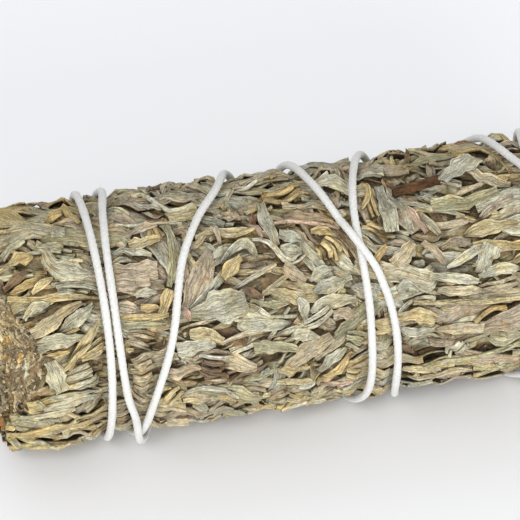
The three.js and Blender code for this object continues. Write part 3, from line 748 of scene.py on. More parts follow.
    right_low_beige=("broad", "beige", 1.9, 437, 330, 460, 330, 484, 328),
    right_under_straw=("flat", "straw", 1.6, 404, 373, 430, 369, 456, 367),
    right_under_beige=("flat", "beige", 1.8, 408, 381, 440, 377, 472, 372),
    right_under_long=("strip", "olive", 0.9, 424, 367, 455, 362, 490, 354, 521, 344),
    between_straw=("flat", "straw", 2.0, 375, 326, 385, 326, 395, 325),
    between_pale=("flat", "pale", 1.9, 376, 349, 386, 349, 395, 346),
)

# Leaves that end square, as broken off, where their line of pixels ends.
BROKEN = ("base_blunt", "corner_pale", "left_blunt", "left_wide", "left_wide_low", "wide_grey",
          "right_blunt", "chunk_over_twig", "smooth_grey", "right_low_straw", "right_low_beige",
          "right_grey_rise")
BROKEN_TIP = 0.95

# Crumpled leaves that show as narrow pleats: how many, tint, width of one, and the middle line.
PLEATS = dict(
    base_slope=(4, "grey", 0.6, 52, 289, 74, 287, 98, 290),
    base_low=(5, "pale", 0.8, 62, 388, 82, 379, 107, 369),
    base_right=(3, "straw", 0.7, 77, 359, 92, 352, 107, 344),
    left_bars=(5, "beige", 0.55, 127, 337, 143, 340, 158, 346),
    left_low=(6, "beige", 1.0, 132, 376, 145, 374, 159, 371),
    left_knot=(4, "ochre", 0.6, 152, 226, 155, 233, 159, 241),
    low_fan=(6, "straw", 0.6, 157, 408, 170, 402, 186, 394),
    low_brown=(5, "brown", 0.8, 202, 366, 216, 369, 232, 368),
    top_ochre=(4, "ochre", 0.75, 262, 197, 284, 194, 306, 182),
    gold_fan=(6, "gold", 0.7, 322, 238, 331, 248, 336, 263),
    right_fan=(4, "pale", 0.7, 466, 341, 458, 350, 452, 359),
    right_end=(3, "beige", 0.8, 481, 292, 500, 288, 521, 282),
    between_olive=(4, "olive", 0.7, 345, 338, 356, 341, 367, 346),
    between_low=(3, "straw", 0.8, 346, 378, 356, 377, 367, 375),
    right_curls=(3, "gold", 0.55, 369, 186, 372, 198, 380, 214),
)

# The darkest gaps: width in millimetres and the pixels that each runs through.
HOLLOWS = dict(
    base_top=(1.4, 22, 221, 31, 218, 41, 218),
    base_crest=(1.1, 42, 202, 50, 204, 58, 205),
    base_slope=(1.1, 30, 327, 38, 321, 50, 310, 62, 304),
    base_slit=(0.8, 63, 333, 78, 327, 92, 318),
    base_corner=(0.8, 54, 368, 58, 376, 63, 384),
    under_left=(1.1, 66, 420, 76, 418, 86, 418),
    under_left_slit=(0.8, 6, 431, 30, 425, 62, 428),
    left_crest=(1.4, 117, 214, 122, 218, 130, 219),
    left_eye=(0.9, 203, 252, 206, 255, 209, 258),
    rise_slit=(0.6, 190, 309, 200, 299, 211, 287),
    top_left=(1.2, 226, 204, 238, 200, 249, 196),
    top_middle=(1.1, 284, 187, 287, 184, 290, 181),
    under_twist=(0.9, 255, 262, 259, 262, 263, 262),
    behind_crossing=(1.4, 326, 188, 331, 195, 336, 202),
    middle_nub=(1.2, 249, 304, 252, 305, 255, 306),
    middle_slit=(0.8, 292, 305, 297, 311, 303, 318),
    low_slit=(0.7, 323, 376, 335, 365, 348, 352),
    between_slit=(1.1, 350, 358, 356, 356, 362, 352),
    right_curl=(1.6, 482, 153, 492, 156, 500, 162),
    twig_left=(1.2, 389, 182, 394, 184, 398, 187),
    over_twig=(0.9, 400, 180, 418, 176, 440, 169),
    right_mouth=(1.2, 460, 229, 464, 230, 469, 232),
    right_slit=(0.8, 450, 268, 464, 265, 478, 254),
    right_low=(1.4, 482, 350, 492, 342, 504, 337),
    right_low_slit=(0.8, 414, 347, 430, 343, 455, 340),
)
HOLLOW_DEPTH = 1.3
OVER_TWIG = 1.4       # how much higher the leaf lies that covers the twig's far end


def sink_hollows(laid):
    """Presses the strewn leaves down along the dark hollows."""
    sunk = np.zeros_like(pile)
    round_mm = ((np.arange(ROWS) + 0.5) * GIRTH / ROWS)[None]
    for wide, *pixels in HOLLOWS.values():
        for at in line_through(on_roll(pixels))[::3]:
            across = (round_mm - at[1] + GIRTH / 2) % GIRTH - GIRTH / 2
            away = np.hypot(CELL_X - at[0], across) / (0.5 * wide)
            np.maximum(sunk, np.exp(-away ** 4), out=sunk)
    sunk *= HOLLOW_DEPTH
    for one in laid:
        one["height"] = one["height"] - sunk[cells_under(one["flat"])]
    pile[:] -= sunk


def lay_named():
    laid = []
    for strips, tint, wide, *pixels in PLEATS.values():
        tint = TINTS[tint] * rng.uniform(0.95, 1.05)
        laid += pleats(line_through(on_roll(pixels)), strips, wide, tint)
    for name, (kind, tint, wide, *pixels) in LEAVES.items():
        tint = TINTS[tint] * rng.uniform(0.95, 1.05)
        lift, tip = rng.uniform(0, 0.25), rng.choice([0.25, 0.5])
        laid.append(lay(kind, line_through(on_roll(pixels)), wide, tint,
                        "sliver" if kind in SLIM else "fine", lift=lift,
                        tip=BROKEN_TIP if name in BROKEN else tip, age=0.08))
        laid[-1]["height"] += OVER_TWIG if name == "chunk_over_twig" else 0
    return laid


# ---- string route, the same points as in the CAD source

STRING_DIAMETER = 1.36
YARN = 1.2                    # the twisted cotton itself, a little slimmer than its solid
STRING_REACH = 18.0           # roll's axis to the middle of the string
STRING_FLOOR = 0.35           # how far the string stays off the surface
STRING_STEP = 0.3
WOUND = 17.4                  # the radius by which a length along a turn of string is reckoned
OUTSIDE = 19.0                # and the one over its crossings
UNDERSIDE = 0.3               # share of straight down from which the surface bounds the string
WINDING_TO_BASE = [
    (36.2, -92), (39.6, -60), (40.8, -30), (41, 40), (39.6, 130), (36, 220),
    (30.6, 320), (28.8, 350), (28.2, 385), (27.4, 450), (25.2, 500),
    (16, 590), (6.4, 676), (2.2, 716), (0.6, 742), (0.6, 790), (0.4, 850),
    (-5, 940), (-14.4, 1036), (-17.6, 1067), (-22.2, 1090), (-25.6, 1111), (-28.4, 1144),
    (-31.8, 1180), (-33.4, 1222), (-36.2, 1310), (-37.4, 1400), (-37.6, 1440), (-37.6, 1500),
    (-37.9, 1570),
]
WINDING_BACK = [
    (-37.9, 1570), (-36.6, 1650), (-33.6, 1760), (-35.2, 1800), (-35.9, 1820), (-36.2, 1845),
    (-36.1, 1870), (-35.5, 1892), (-34.4, 1908), (-32.8, 1938), (-26, 1985), (-13, 2035),
    (-7, 2080), (-5, 2136), (-4, 2154),
    (-0.8, 2188), (2.6, 2210), (4.2, 2235), (5.4, 2290), (12.6, 2380), (23.2, 2470),
    (25, 2505), (27.4, 2532), (29.4, 2580), (31.6, 2650), (35.2, 2740), (37.4, 2830),
    (38.6, 2890), (40.4, 2940), (43, 3010), (42.8, 3120), (41, 3180), (37.8, 3212),
]
ROUTE = np.array(WINDING_TO_BASE + WINDING_BACK[1:])      # x and turn
FIRST_TURN, LAST_TURN = ROUTE[0, 1], ROUTE[-1, 1]
KNOT = {"x": 40.3, "turn": 300, "radius": 18.9, "ring": 1.2, "tilt": 38, "wound": 400, "steps": 60,
        "apart": (0.45, 2)}
CROSSING = {"rise": STRING_DIAMETER * 0.86, "reach": 3.4, "wide": 1.2, "least_slant": 0.12,
            "ease": 1.6, "step": 2.0}


def route_x(turn):
    """The string's x at any turn, smooth through the route's points."""
    x, at = ROUTE.T
    wide_x, wide_at = np.pad(ROUTE.T, ((0, 0), (1, 1)), mode="edge")
    slope = (wide_x[2:] - wide_x[:-2]) / (wide_at[2:] - wide_at[:-2])
    return smooth_through(at, x, slope, turn)


def crossings():
    """Turns at which the string passes over an earlier turn, with how far the hump reaches."""
    found = []
    step = CROSSING["step"]
    turns = np.arange(FIRST_TURN + 360, LAST_TURN - step, step)
    for back in range(360, int(LAST_TURN - FIRST_TURN), 360):
        late = turns[turns - back > FIRST_TURN]
        gap = route_x(late) - route_x(late - back)
        after = route_x(late + step) - route_x(late + step - back)
        for n in np.nonzero(gap * after <= 0)[0]:
            slant = abs(after[n] - gap[n]) / math.radians(step) / WOUND
            reach = CROSSING["reach"] + CROSSING["wide"] / max(slant, CROSSING["least_slant"])
            found.append((late[n] + step / 2, reach))
    return found


CROSSINGS = crossings()


def string_radius(turn):
    """The roll's axis to the string's middle: humped at crossings, flattened underneath."""
    turn = np.asarray(turn, float)
    rise = np.zeros_like(turn)
    for at, reach in CROSSINGS:
        away = np.minimum(1, np.abs(np.radians(turn - at)) * WOUND / reach) ** CROSSING["ease"]
        rise = np.maximum(rise, CROSSING["rise"] * (0.5 + 0.5 * np.cos(np.pi * away)))
    down = -np.cos(np.radians(turn))
    lowest = AXIS_HEIGHT - STRING_FLOOR - STRING_DIAMETER / 2
    bound = np.where(down > UNDERSIDE, lowest / np.maximum(down, UNDERSIDE), FREE)
    return np.minimum(STRING_REACH + rise, bound)


def string_path():
    steps = int(math.radians(LAST_TURN - FIRST_TURN) * OUTSIDE / STRING_STEP)
    turns = np.linspace(FIRST_TURN, LAST_TURN, steps)
    return place(route_x(turns), turns, string_radius(turns))


# ---- from the pile to the roll

LEVEL_REACH = 3.0       # the pile's mean height, which becomes the skin, is taken this far round
NEAR_REACH = 0.7        # and this far round for how deep a leaf lies among its neighbours, which sets its painted shade
LOFT = 0.95             # share of the pile's own relief that stays on the roll
CREST = {"ease": 2.5, "most": 1.9}      # the higher over the skin, the flatter a leaf is pressed
HOLLOW = 1.2            # how far under the skin the leaves are still pressed down by the string
PRESS = {"reach": 2.6, "bed": 0.68, "edge": 0.6, "slope": 1.0, "shallow": 0.1}
STRING_BED = {"free": 30, "step": 0.6, "sink": 0.1 * STRING_DIAMETER}     # degrees, millimetres
TWIG_BED = {"steps": 40, "pressed": 26, "sink": 0.2}
CLEARANCE = 0.06        # blades over the surface, and a blade's lower side under its upper one
LEAST_DOWN = 0.2        # keeps a divisor off nought, as the next one does
LEAST_SHARE = 0.02


def smoothed(field, reach):
    """The field blurred over reach millimetres, round the roll and mirrored at its ends."""
    tall = np.concatenate([field, field[::-1]], axis=0)
    fx = np.fft.fftfreq(tall.shape[0], CELL)[:, None]
    fy = np.fft.rfftfreq(tall.shape[1], GIRTH / ROWS)[None]
    blur = np.exp(-2 * (np.pi * reach) ** 2 * (fx ** 2 + fy ** 2))
    return np.fft.irfft2(np.fft.rfft2(tall) * blur, s=tall.shape)[:len(field)]


def mean_height(reach):
    """The pile's mean height round each cell, leaving out what is past its ends."""
    counted = np.maximum(smoothed(INSIDE.astype(float), reach), LEAST_SHARE)
    return smoothed(pile * INSIDE, reach) / counted


def press(ceiling, x, turn, radius):
    """Lowers the ceiling round a place of a cord or twig of that radius to its own middle."""
    span = int(PRESS["reach"] / CELL) + 1
    column, row = int((x + HALF) / CELL), int(turn % 360 / 360 * ROWS)
    columns = np.arange(max(column - span, 0), min(column + span + 1, COLUMNS))
    rows = np.arange(row - span, row + span + 1)
    across = (rows + 0.5) / ROWS * GIRTH - turn % 360 / 360 * GIRTH
    away = np.hypot(CELL_X[columns] - x, across[None])
    bed = -np.sqrt(np.clip(PRESS["bed"] ** 2 - away ** 2, PRESS["shallow"], 1))
    rise = np.where(away < PRESS["edge"], bed, bed + PRESS["slope"] * (away - PRESS["edge"]))
    spot = np.ix_(columns, rows % ROWS)
    ceiling[spot] = np.minimum(ceiling[spot], np.where(away < PRESS["reach"], radius + rise, FREE))


def pressed_down():
    """How high the leaves may stand over the unrolled skin, under the string and round the twig."""
    ceiling = np.full((COLUMNS, ROWS), FREE)
    free = STRING_BED["free"]
    for turn in np.arange(FIRST_TURN + free, LAST_TURN - free, STRING_BED["step"]):
        radius = min(float(string_radius(turn)), STRING_REACH) - STRING_BED["sink"]
        press(ceiling, float(route_x(np.array([turn]))[0]), turn, radius)
    for x, turn, radius in twig_path(TWIG_BED["steps"])[:TWIG_BED["pressed"]]:
        press(ceiling, x, turn, radius - TWIG_BED["sink"] * TWIG["width"])
    return ceiling


def over_skin(flat, height, level, ceiling):
    """Heights over the roll's skin for places on the unrolled skin and heights in the pile."""
    cell = cells_under(flat)
    over = LOFT * (height - level[cell])
    eased = CREST["ease"] * (1 - np.exp(-np.maximum(over, 0) / CREST["ease"]))
    over = np.where(over > 0, eased, over)
    down = np.maximum(-np.cos(np.radians(turn_of(flat[..., 1]))), LEAST_DOWN)
    most = np.minimum(ceiling[cell], (AXIS_HEIGHT - CLEARANCE) / down) - SKIN_RADIUS
    share = np.clip((most + HOLLOW) / (CREST["most"] + HOLLOW), LEAST_SHARE, 1)
    return np.where(over > -HOLLOW, (over + HOLLOW) * share - HOLLOW, over)


def under_side(over, thick):
    """A blade's lower side: straight from its middle to each rim, never over its upper side."""
    low = over - thick
    half = over.shape[1] // 2
    share = np.linspace(0, 1, half + 1)
    for first in (0, half):
        chord = low[:, first, None] * (1 - share) + low[:, first + half, None] * share
        above = (chord - over[:, first:first + half + 1] + CLEARANCE).max(axis=1)
        low = low - np.maximum(above, 0)[:, None]
    return low


def blade_faces(grid):
    """A closed blade: which corners of its top grid have one below them, its quads and its fans."""
    along, across = grid
    half = across // 2
    top = np.arange((along + 1) * (across + 1)).reshape(along + 1, across + 1)
    rim = [*top[:, 0], *top[-1, 1:], *top[-2::-1, -1], *top[0, -2:0:-1]]
    lowered = rim + list(top[1:-1, half])
    low = {corner: top.size + n for n, corner in enumerate(lowered)}
    quads = [(top[a, c], top[a + 1, c], top[a + 1, c + 1], top[a, c + 1])
             for a in range(along) for c in range(across)]
    quads += [(one, low[one], low[other], other) for one, other in zip(rim, rim[1:] + rim[:1])]
    for a in range(along):
        for c in (0, half):
            corners = top[a, c], top[a, c + half], top[a + 1, c + half], top[a + 1, c]
            quads.append([low[corner] for corner in corners])
    fans = []
    for end, turned in ((top[0], 1), (top[-1], -1)):
        for c in (0, half):
            edge = [low[corner] for corner in end[c:c + half + 1]][::turned]
            fans += [(edge[0], edge[n + 1], edge[n]) for n in range(1, half)]
    return np.array(lowered), np.array(quads), np.array(fans).reshape(-1, 3)


BLADES = {grid: blade_faces(grid) for grid in GRIDS.values()}
COVERED = {"from": 0.08, "over": 0.35, "open": 0.2}     # painted shade on a leaf that others cover, and how much where they leave it open
SUNK = {"from": 0.15, "over": 0.8}                      # painted shade on a leaf lower than those round it
PAINTED_SHADE_LOSS = np.array([0.64, 0.71, 0.82])                # painted shade: the loss of red, green and blue where it is both
AGED_LOSS = np.array([0.1, 0.35, 1.0])                  # the loss of red, green and blue at an old tip
BROWNED = {"from": -36.0, "over": 14.0, "loss": np.array([0.0, 0.05, 0.2])}     # towards the base
RIM_FELT_AND_PAINTED_HIGHLIGHT = {"middle": 0.93, "rim": 0.18}                    # a blade is paler towards its rims: partly its felted edge, partly a painted highlight
LOWER_SIDE_PAINTED_SHADOW = 0.12                                        # painted shadow: a blade's lower side, with its rim's lower edge, against its face
BAKE_MARGIN = 0.06
GRAIN_SHIFTS = (61, 7, 13)                              # each blade has its own part of the grain


def painted_crevice_shade(flat, height, near):
    """Painted shade: 0 on top of the pile to 1 deep between leaves, where a leaf runs in under
    others.
    """
    cell = cells_under(flat)
    covered = np.clip((pile[cell] - height - COVERED["from"]) / COVERED["over"], 0, 1)
    sunk = np.clip((near[cell] - height - SUNK["from"]) / SUNK["over"], 0, 1)
    return sunk * (COVERED["open"] + (1 - COVERED["open"]) * covered)


def leaf_tints(one, near):
    """A colour for each top vertex: darker, browner painted shade in the crevices, browner at old
    tips, paler at the rims, partly as a painted highlight.
    """
    along, across = one["grid"]
    t = np.linspace(0, 1, along + 1)[:, None, None]
    v = np.linspace(-1, 1, across + 1)[None, :, None]
    draw = one["draw"]
    # painted shade where a leaf lies deep among others or runs in under them
    deep = painted_crevice_shade(one["flat"], one["height"], near)[..., None]
    # paler rims: partly the felted edge, partly a painted highlight
    face = RIM_FELT_AND_PAINTED_HIGHLIGHT["middle"] + RIM_FELT_AND_PAINTED_HIGHLIGHT["rim"] * v * v
    tint = one["tint"] * (1 + draw["fade"] * (2 * t - 1)) * face
    tint = tint * (1 - draw["age"] * t ** 3 * AGED_LOSS)
    base = np.clip((BROWNED["from"] - one["flat"][..., :1]) / BROWNED["over"], 0, 1)
    return tint * (1 - base * BROWNED["loss"]) * (1 - deep * PAINTED_SHADE_LOSS)


def gathered_piece(name, solids, material):
    """Many small closed solids in one mesh, each with its own cell of the bake map.

    Each is its points, quads, fans, tint, map and the map's size in millimetres.
    """
    points, quads, fans = merged([solid[:3] for solid in solids])
    piece = new_piece(name, points, [quads, fans], material, ["sage_leaves"])
    side = math.ceil(math.sqrt(len(solids)))
    x_shifts, step, y_shifts = GRAIN_SHIFTS
    bake, blade, tints = [], [], []
    for n, (corners, _, _, tint, uv, size) in enumerate(solids):
        inset = BAKE_MARGIN + (1 - 2 * BAKE_MARGIN) * uv
        bake.append((inset + np.array([n % side, n // side])) / side)
        blade.append(uv * size + np.array([n % x_shifts, step * (n % y_shifts)]))
        tints.append(np.broadcast_to(tint, corners.shape))
    add_uv(piece, "OFBake", np.concatenate(bake))
    add_uv(piece, "Blade", np.concatenate(blade))
    # the colour attribute holds each solid's tint with its painted shade, shadow and highlight
    add_colour(piece, "Tint", np.column_stack([np.concatenate(tints), np.ones(len(points))]))


def leaf_piece(name, laid, level, near, ceiling, material):
    solids = []
    for one in laid:
        lowered, quads, fans = BLADES[one["grid"]]
        x, turn = one["flat"][..., 0], turn_of(one["flat"][..., 1])
        over = over_skin(one["flat"], one["height"], level, ceiling)
        top, low = (place(x, turn, SKIN_RADIUS + side).reshape(-1, 3)
                    for side in (over, under_side(over, one["thick"])))
        shares = np.meshgrid(*(np.linspace(0, 1, n + 1) for n in one["grid"]), indexing="ij")
        uv = np.stack(shares, -1).reshape(-1, 2)
        tint = leaf_tints(one, near).reshape(-1, 3)
        # painted shadow: each blade's lower side is made far darker than its top
        solids.append((np.concatenate([top, low[lowered]]), quads, fans,
                       np.concatenate([tint, tint[lowered] * LOWER_SIDE_PAINTED_SHADOW]),
                       np.concatenate([uv, uv[lowered]]), one["size"]))
    gathered_piece(name, solids, material)


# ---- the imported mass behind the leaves, and the two cut ends

CORE = {"sides": 96, "steps": 60, "faces": (0.02, 0.35, 0.7), "rough": 0.1}
END_TINTS = [np.array(linear(*c)[:3]) for c in (
    (236, 216, 174), (222, 202, 160), (204, 183, 144), (244, 228, 190), (216, 208, 176),
    (150, 128, 100), (234, 194, 122), (214, 194, 152))]
END_SHARES = np.array((20, 18, 14, 16, 12, 14, 6, 14)) / 114
RIBBON = {"count": 560, "steps": 6, "thick": (0.22, 0.5), "long": (0.8, 3.4), "out": (0.0, 0.8),
          "root": 0.9, "rooted_painted_shade": 0.5}
CRUMB = {"count": (2100, 1100), "size": (0.1, 0.36), "out": (-0.3, 0.9)}     # base, tips
GOLDEN = (1 + math.sqrt(5)) / 2
NO_QUADS, NO_FANS = np.zeros((0, 4), int), np.zeros((0, 3), int)


def end_x(end, turn, radius):
    """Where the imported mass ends, at -1 for the cut base and 1 for the trimmed tips."""
    return end * (HALF - CORE_END - (base_setback(turn, radius) if end < 0 else 0.0))


def core_piece(material):
    """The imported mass: rings out over its base face, along its side and in over its other face."""
    sides, steps = CORE["sides"], CORE["steps"]
    turns = np.arange(sides) * 360 / sides
    low, high = end_x(-1, turns, CORE_RADIUS), end_x(1, turns, CORE_RADIUS)
    rings = [(end_x(-1, turns, CORE_RADIUS * share), share) for share in CORE["faces"]]
    rings += [(low + (high - low) * step / steps, 1.0) for step in range(steps + 1)]
    rings += [(high, share) for share in CORE["faces"][::-1]]
    points = np.concatenate([place(x, turns, CORE_RADIUS * share) for x, share in rings])
    points += rng.normal(0, CORE["rough"], points.shape)
    new_piece("packed_mass", points, tube_faces(len(rings), sides), material,
              ["sage_leaves"])


def end_tint():
    return END_TINTS[rng.choice(len(END_TINTS), p=END_SHARES)] * rng.uniform(0.75, 1.15)


def ribbon(end):
    """A leaf seen edge-on: a thin wavy wall that stands out of the end."""
    radius = CORE_RADIUS * math.sqrt(rng.uniform(0.01, 1.0)) - 0.3
    turn, long = rng.uniform(0, 360), rng.uniform(*RIBBON["long"])
    thick, out = rng.uniform(*RIBBON["thick"]), rng.uniform(*RIBBON["out"])
    heading, bend = rng.normal(0, 0.5), rng.normal(0, 0.12)
    u = np.linspace(-0.5, 0.5, RIBBON["steps"] + 1)
    run = u * long
    wave = 0.25 * thick * np.sin(rng.uniform(3, 9) * u + rng.uniform(0, 6))
    middle = radius + run * math.sin(heading) + bend * run ** 2 + wave
    middle = np.clip(middle, 0.4, CORE_RADIUS)
    at = turn + np.degrees(run * math.cos(heading) / max(radius, 1.5))
    near = end_x(end, at, middle) - end * RIBBON["root"]
    far = end_x(end, at, middle) + end * out * (1 - 1.6 * u ** 2 + 0.2 * np.sin(14 * u + turn))
    half = 0.5 * thick * (1 - 1.2 * np.abs(u))
    corners = [place(near, at, middle - half), place(near, at, middle + half),
               place(far, at, middle + half), place(far, at, middle - half)]
    if end > 0:
        corners.reverse()
    points = np.stack(corners, axis=1).reshape(-1, 3)
    quads, _ = tube_faces(len(u), 4)
    quads = np.concatenate([quads, [(3, 2, 1, 0)], [len(points) - 4 + np.arange(4)]])
    outer = np.isin(np.arange(4), (2, 3) if end < 0 else (0, 1))
    # painted shade: a ribbon is darker where it runs into the packed mass than at its outer edge
    tint = end_tint() * np.where(outer, 1.0, RIBBON["rooted_painted_shade"])[:, None]
    uv = np.stack(np.meshgrid(u + 0.5, [0, 0.33, 0.67, 1], indexing="ij"), -1).reshape(-1, 2)
    return points, quads, NO_FANS, np.tile(tint, (len(u), 1)), uv, (long, 1.0)


def crumb_form():
    """The 12 corners and 20 faces of an icosahedron of radius 1."""
    plane = [(0, a, b * GOLDEN) for a in (-1, 1) for b in (-1, 1)]
    corners = np.concatenate([np.roll(plane, -turn, axis=1) for turn in range(3)])
    corners = corners / np.linalg.norm(corners[0])
    close = np.linalg.norm(corners[:, None] - corners[None], axis=2) < 1.1
    faces = []
    for i, j, k in combinations(range(12), 3):
        if close[i, j] and close[j, k] and close[i, k]:
            out = np.dot(np.cross(corners[j] - corners[i], corners[k] - corners[i]), corners[i])
            faces.append((i, j, k) if out > 0 else (i, k, j))
    return corners, np.array(faces)


CRUMB_CORNERS, CRUMB_FACES = crumb_form()


def crumb(end):
    """A broken bit of leaf: an icosahedron squeezed and roughened."""
    radius = CORE_RADIUS * math.sqrt(rng.uniform(0, 1.0))
    turn = rng.uniform(0, 360)
    middle = place(end_x(end, turn, radius) + end * rng.uniform(*CRUMB["out"]), turn, radius)
    turned = np.linalg.qr(rng.normal(size=(3, 3)))[0]
    turned[:, 0] *= np.sign(np.linalg.det(turned))
    size = rng.uniform(*CRUMB["size"]) * np.array([1, rng.uniform(0.5, 1), rng.uniform(0.25, 0.8)])
    form = CRUMB_CORNERS * (1 + rng.normal(0, 0.12, (12, 1)))
    uv = 0.5 + 0.45 * form[:, :2] / np.abs(form).max()
    return (middle + (form * size) @ turned.T, NO_QUADS, CRUMB_FACES,
            end_tint() * rng.uniform(0.85, 1.2), uv, (1.0, 1.0))


def end_piece(name, end, material):
    solids = [ribbon(end) for _ in range(RIBBON["count"])]
    solids += [crumb(end) for _ in range(CRUMB["count"][end > 0])]
    gathered_piece(name, solids, material)


# ---- stems and the twig, the same places as in the CAD source

STEMS = [
    {"turn": 126, "from": 13.9, "width": 2.4, "long": 40, "out": 1.6},
    {"turn": 20, "from": 9.4, "width": 2.2, "long": 34, "out": 0.9},
    {"turn": 250, "from": 8.0, "width": 2.8, "long": 46, "out": 1.1},
    {"turn": 305, "from": 13.0, "width": 1.9, "long": 30, "out": 0.8},
    {"turn": 165, "from": 5.4, "width": 2.1, "long": 38, "out": 1},
]
TWIG = {"width": 1.6,
        "line": [(7.3, 8.2, 17.2), (9.8, 7.2, 17.6), (12.4, 5.4, 17.6), (16.6, 2.8, 17.1)]}
WOODY = {"sides": 18, "stem_steps": 60, "twig_steps": 70, "twig_rounds": 12, "saw_marks": 0.12,
         "splinters": 0.1}


def woody(path, width, ends):
    """Radii along a stem: knobbly, with nodes, and chamfered by ends at its cut faces."""
    run = np.linspace(0, 1, len(path))
    knobs = 1 + 0.05 * np.sin(run * 23 + width * 5) + 0.03 * np.sin(run * 61 + width)
    edge = np.minimum(1, np.minimum(run, 1 - run) * len(path) / 2 + ends)
    return 0.5 * width * knobs * edge


def stem_piece(number, stem, material):
    sides = WOODY["sides"]
    cut = end_x(-1, stem["turn"], stem["from"]) - stem["out"]
    x = np.linspace(cut, cut + stem["long"], WOODY["stem_steps"])
    path = place(x, stem["turn"], stem["from"])
    points, *faces = sweep(path, woody(path, stem["width"], 0.9), sides, 0.0, 9, 0.08)
    points[:sides, 0] += WOODY["saw_marks"] * np.sin(np.arange(sides) * 2.4)
    new_piece(f"woody_stem_{number}", points, faces, material, [f"stem_{number}"])


def twig_path(steps):
    """x, turn and radius along the twig."""
    line = np.array(TWIG["line"])
    at, knots = np.linspace(0, 1, steps), np.linspace(0, 1, len(line))
    path = np.stack([np.interp(at, knots, values) for values in line.T], -1)
    for _ in range(WOODY["twig_rounds"]):
        path[1:-1] = 0.25 * path[:-2] + 0.5 * path[1:-1] + 0.25 * path[2:]
    return path


def twig_piece(material):
    sides = WOODY["sides"]
    path = place(*twig_path(WOODY["twig_steps"]).T)
    points, *faces = sweep(path, woody(path, TWIG["width"], 0.55), sides, 0.22, 5, 0.26)
    for end in (slice(None, sides), slice(-sides, None)):
        points[end] += rng.normal(0, WOODY["splinters"], (sides, 3))
    new_piece("broken_twig", points, faces, material, ["twig"])


# ---- string

PLIES = {"sides": 14, "twist": 2.2, "lobes": 3, "depth": 0.1}
FUZZ = {"count": 1100, "long": (0.35, 1.3), "thick": 0.022, "steps": 4, "sides": 3, "tip": 0.4,
        "root": 0.92, "lean": (0.15, 0.7), "curl": 0.25, "floor": 0.05}


def knot_loops():
    """Two loops drawn tight round both ends of the string."""
    steps = KNOT["steps"]
    apart, turned = KNOT["apart"]
    at, out = np.radians(np.linspace(0, KNOT["wound"], steps)), math.radians(KNOT["turn"])
    loops = []
    for hand in (-1, 1):
        _, side, z = (np.stack([np.zeros(steps), np.cos(at), np.sin(at)]) * KNOT["ring"])
        lean = math.radians(hand * KNOT["tilt"])
        x, y = -side * math.sin(lean), side * math.cos(lean)
        loop = np.stack([x, y * math.cos(out) - z * math.sin(out),
                         y * math.sin(out) + z * math.cos(out)], -1)
        loops.append(loop + place(KNOT["x"] + hand * apart, KNOT["turn"] + hand * turned,
                                  KNOT["radius"]))
    return loops


def fibres(path, radius):
    """Fine stray fibres that stand off a string, as slim closed tubes."""
    tubes = []
    curl = FUZZ["curl"]
    t = np.linspace(0, 1, FUZZ["steps"])[:, None]
    for _ in range(FUZZ["count"]):
        n = rng.integers(2, len(path) - 2)
        along = unit(path[n + 1] - path[n - 1])
        out = unit(np.cross(along, rng.normal(size=3)))
        heading = along * rng.choice((-1, 1)) + out * rng.uniform(*FUZZ["lean"])
        line = path[n] + out * radius * FUZZ["root"] + heading * t * rng.uniform(*FUZZ["long"])
        line = line + np.cross(along, out) * rng.normal(0, curl) * t ** 2 - out * curl * t ** 2
        line[:, 2] = np.maximum(line[:, 2], FUZZ["floor"])
        radii = FUZZ["thick"] * np.linspace(1, FUZZ["tip"], FUZZ["steps"])
        tubes.append(sweep(line, radii, FUZZ["sides"]))
    return tubes


def string_piece(material):
    whole = string_path()
    slub = 1 + 0.025 * np.sin(np.arange(len(whole)) * 0.21) + 0.015 * rng.normal(size=len(whole))
    tubes = [sweep(whole, YARN / 2 * slub, **PLIES)]
    tubes += [sweep(loop, YARN / 2, **PLIES) for loop in knot_loops()]
    points, *faces = merged(tubes + fibres(whole, YARN / 2))
    new_piece("cotton_string", points, faces, material, ["string"], sharp=80)


# ---- camera, floor and light

SENSOR = 36.0
FLOOR = {"size": 6, "colour": linear(240, 240, 241), "rough": 0.9}
WORLD = {"colour": (0.95, 0.97, 1.0, 1), "strength": 0.65}
LIGHTS = [      # name, place and size in metres, power in watts
    ("key", (-1.9, -3.4, 3.9), 2.3, 142.0),
    ("fill", (0.4, -5.3, 0.9), 3.0, 200.0),
    ("back", (0.3, 1.8, 2.6), 1.6, 8.0),
]
LIT = Vector((0, 0, 0.02))      # where the lights point


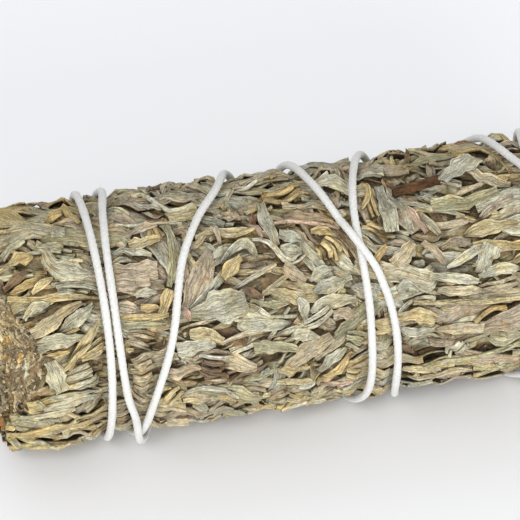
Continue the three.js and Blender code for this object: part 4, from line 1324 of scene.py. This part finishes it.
def stand(name, data, spot, back):
    """A camera or light at spot that looks away from back."""
    thing = bpy.data.objects.new(name, data)
    thing.location = spot
    thing.rotation_mode = "QUATERNION"
    thing.rotation_quaternion = Vector(back).to_track_quat("Z", "Y")
    bpy.context.scene.collection.objects.link(thing)
    return thing


def stage_and_camera():
    scene = bpy.context.scene
    eye, back, _, _ = view_axes()
    camera = bpy.data.cameras.new("camera")
    camera.sensor_width = SENSOR
    camera.lens = SENSOR * VIEW["scale"] * VIEW["distance"] / FRAME_PIXELS
    camera.clip_start = 0.01
    scene.camera = stand("camera", camera, eye * MM, back)

    bpy.ops.mesh.primitive_plane_add(size=FLOOR["size"])
    floor = bpy.context.object
    floor.name = "floor"
    floor.data.materials.append(
        Nodes("floor").look(Base_Color=FLOOR["colour"], Roughness=FLOOR["rough"]))

    world = bpy.data.worlds.new("studio")
    world.use_nodes = True
    sky = world.node_tree.nodes["Background"].inputs
    sky["Color"].default_value = WORLD["colour"]
    sky["Strength"].default_value = WORLD["strength"]
    scene.world = world
    for name, spot, size, power in LIGHTS:
        lamp = bpy.data.lights.new(name, "AREA")
        lamp.size = size
        lamp.energy = power
        stand(name, lamp, spot, Vector(spot) - LIT)
    scene.view_settings.view_transform = "Standard"


# ---- making it

GROUPS = 5

stage_and_camera()
laid_leaves = strew_all()
sink_hollows(laid_leaves)
laid_leaves += lay_named()
level, near = mean_height(LEVEL_REACH), mean_height(NEAR_REACH)
ceiling = pressed_down()
leaf_look = leaf_material("sage_leaf")
for n in range(GROUPS):
    leaf_piece(f"sage_leaf_layer_{n + 1}", laid_leaves[n::GROUPS], level, near, ceiling, leaf_look)
end_piece("cut_base", -1, leaf_look)
end_piece("trimmed_tips", 1, leaf_look)
core_piece(plain_material("packed_crumbs", (98, 80, 58), (186, 161, 121), 900, 0.95, 0.0002))
string_piece(cotton_material("cotton"))
twig_piece(plain_material("twig_bark", (20, 15, 12), (124, 88, 56), 1100, 0.9, 0.0006, (0.3, 1, 1)))
wood = plain_material("stem_wood", (122, 80, 42), (198, 146, 88), 1400, 0.8, 0.0003, (0.4, 1, 1))
for number, stem in enumerate(STEMS, 1):
    stem_piece(number, stem, wood)
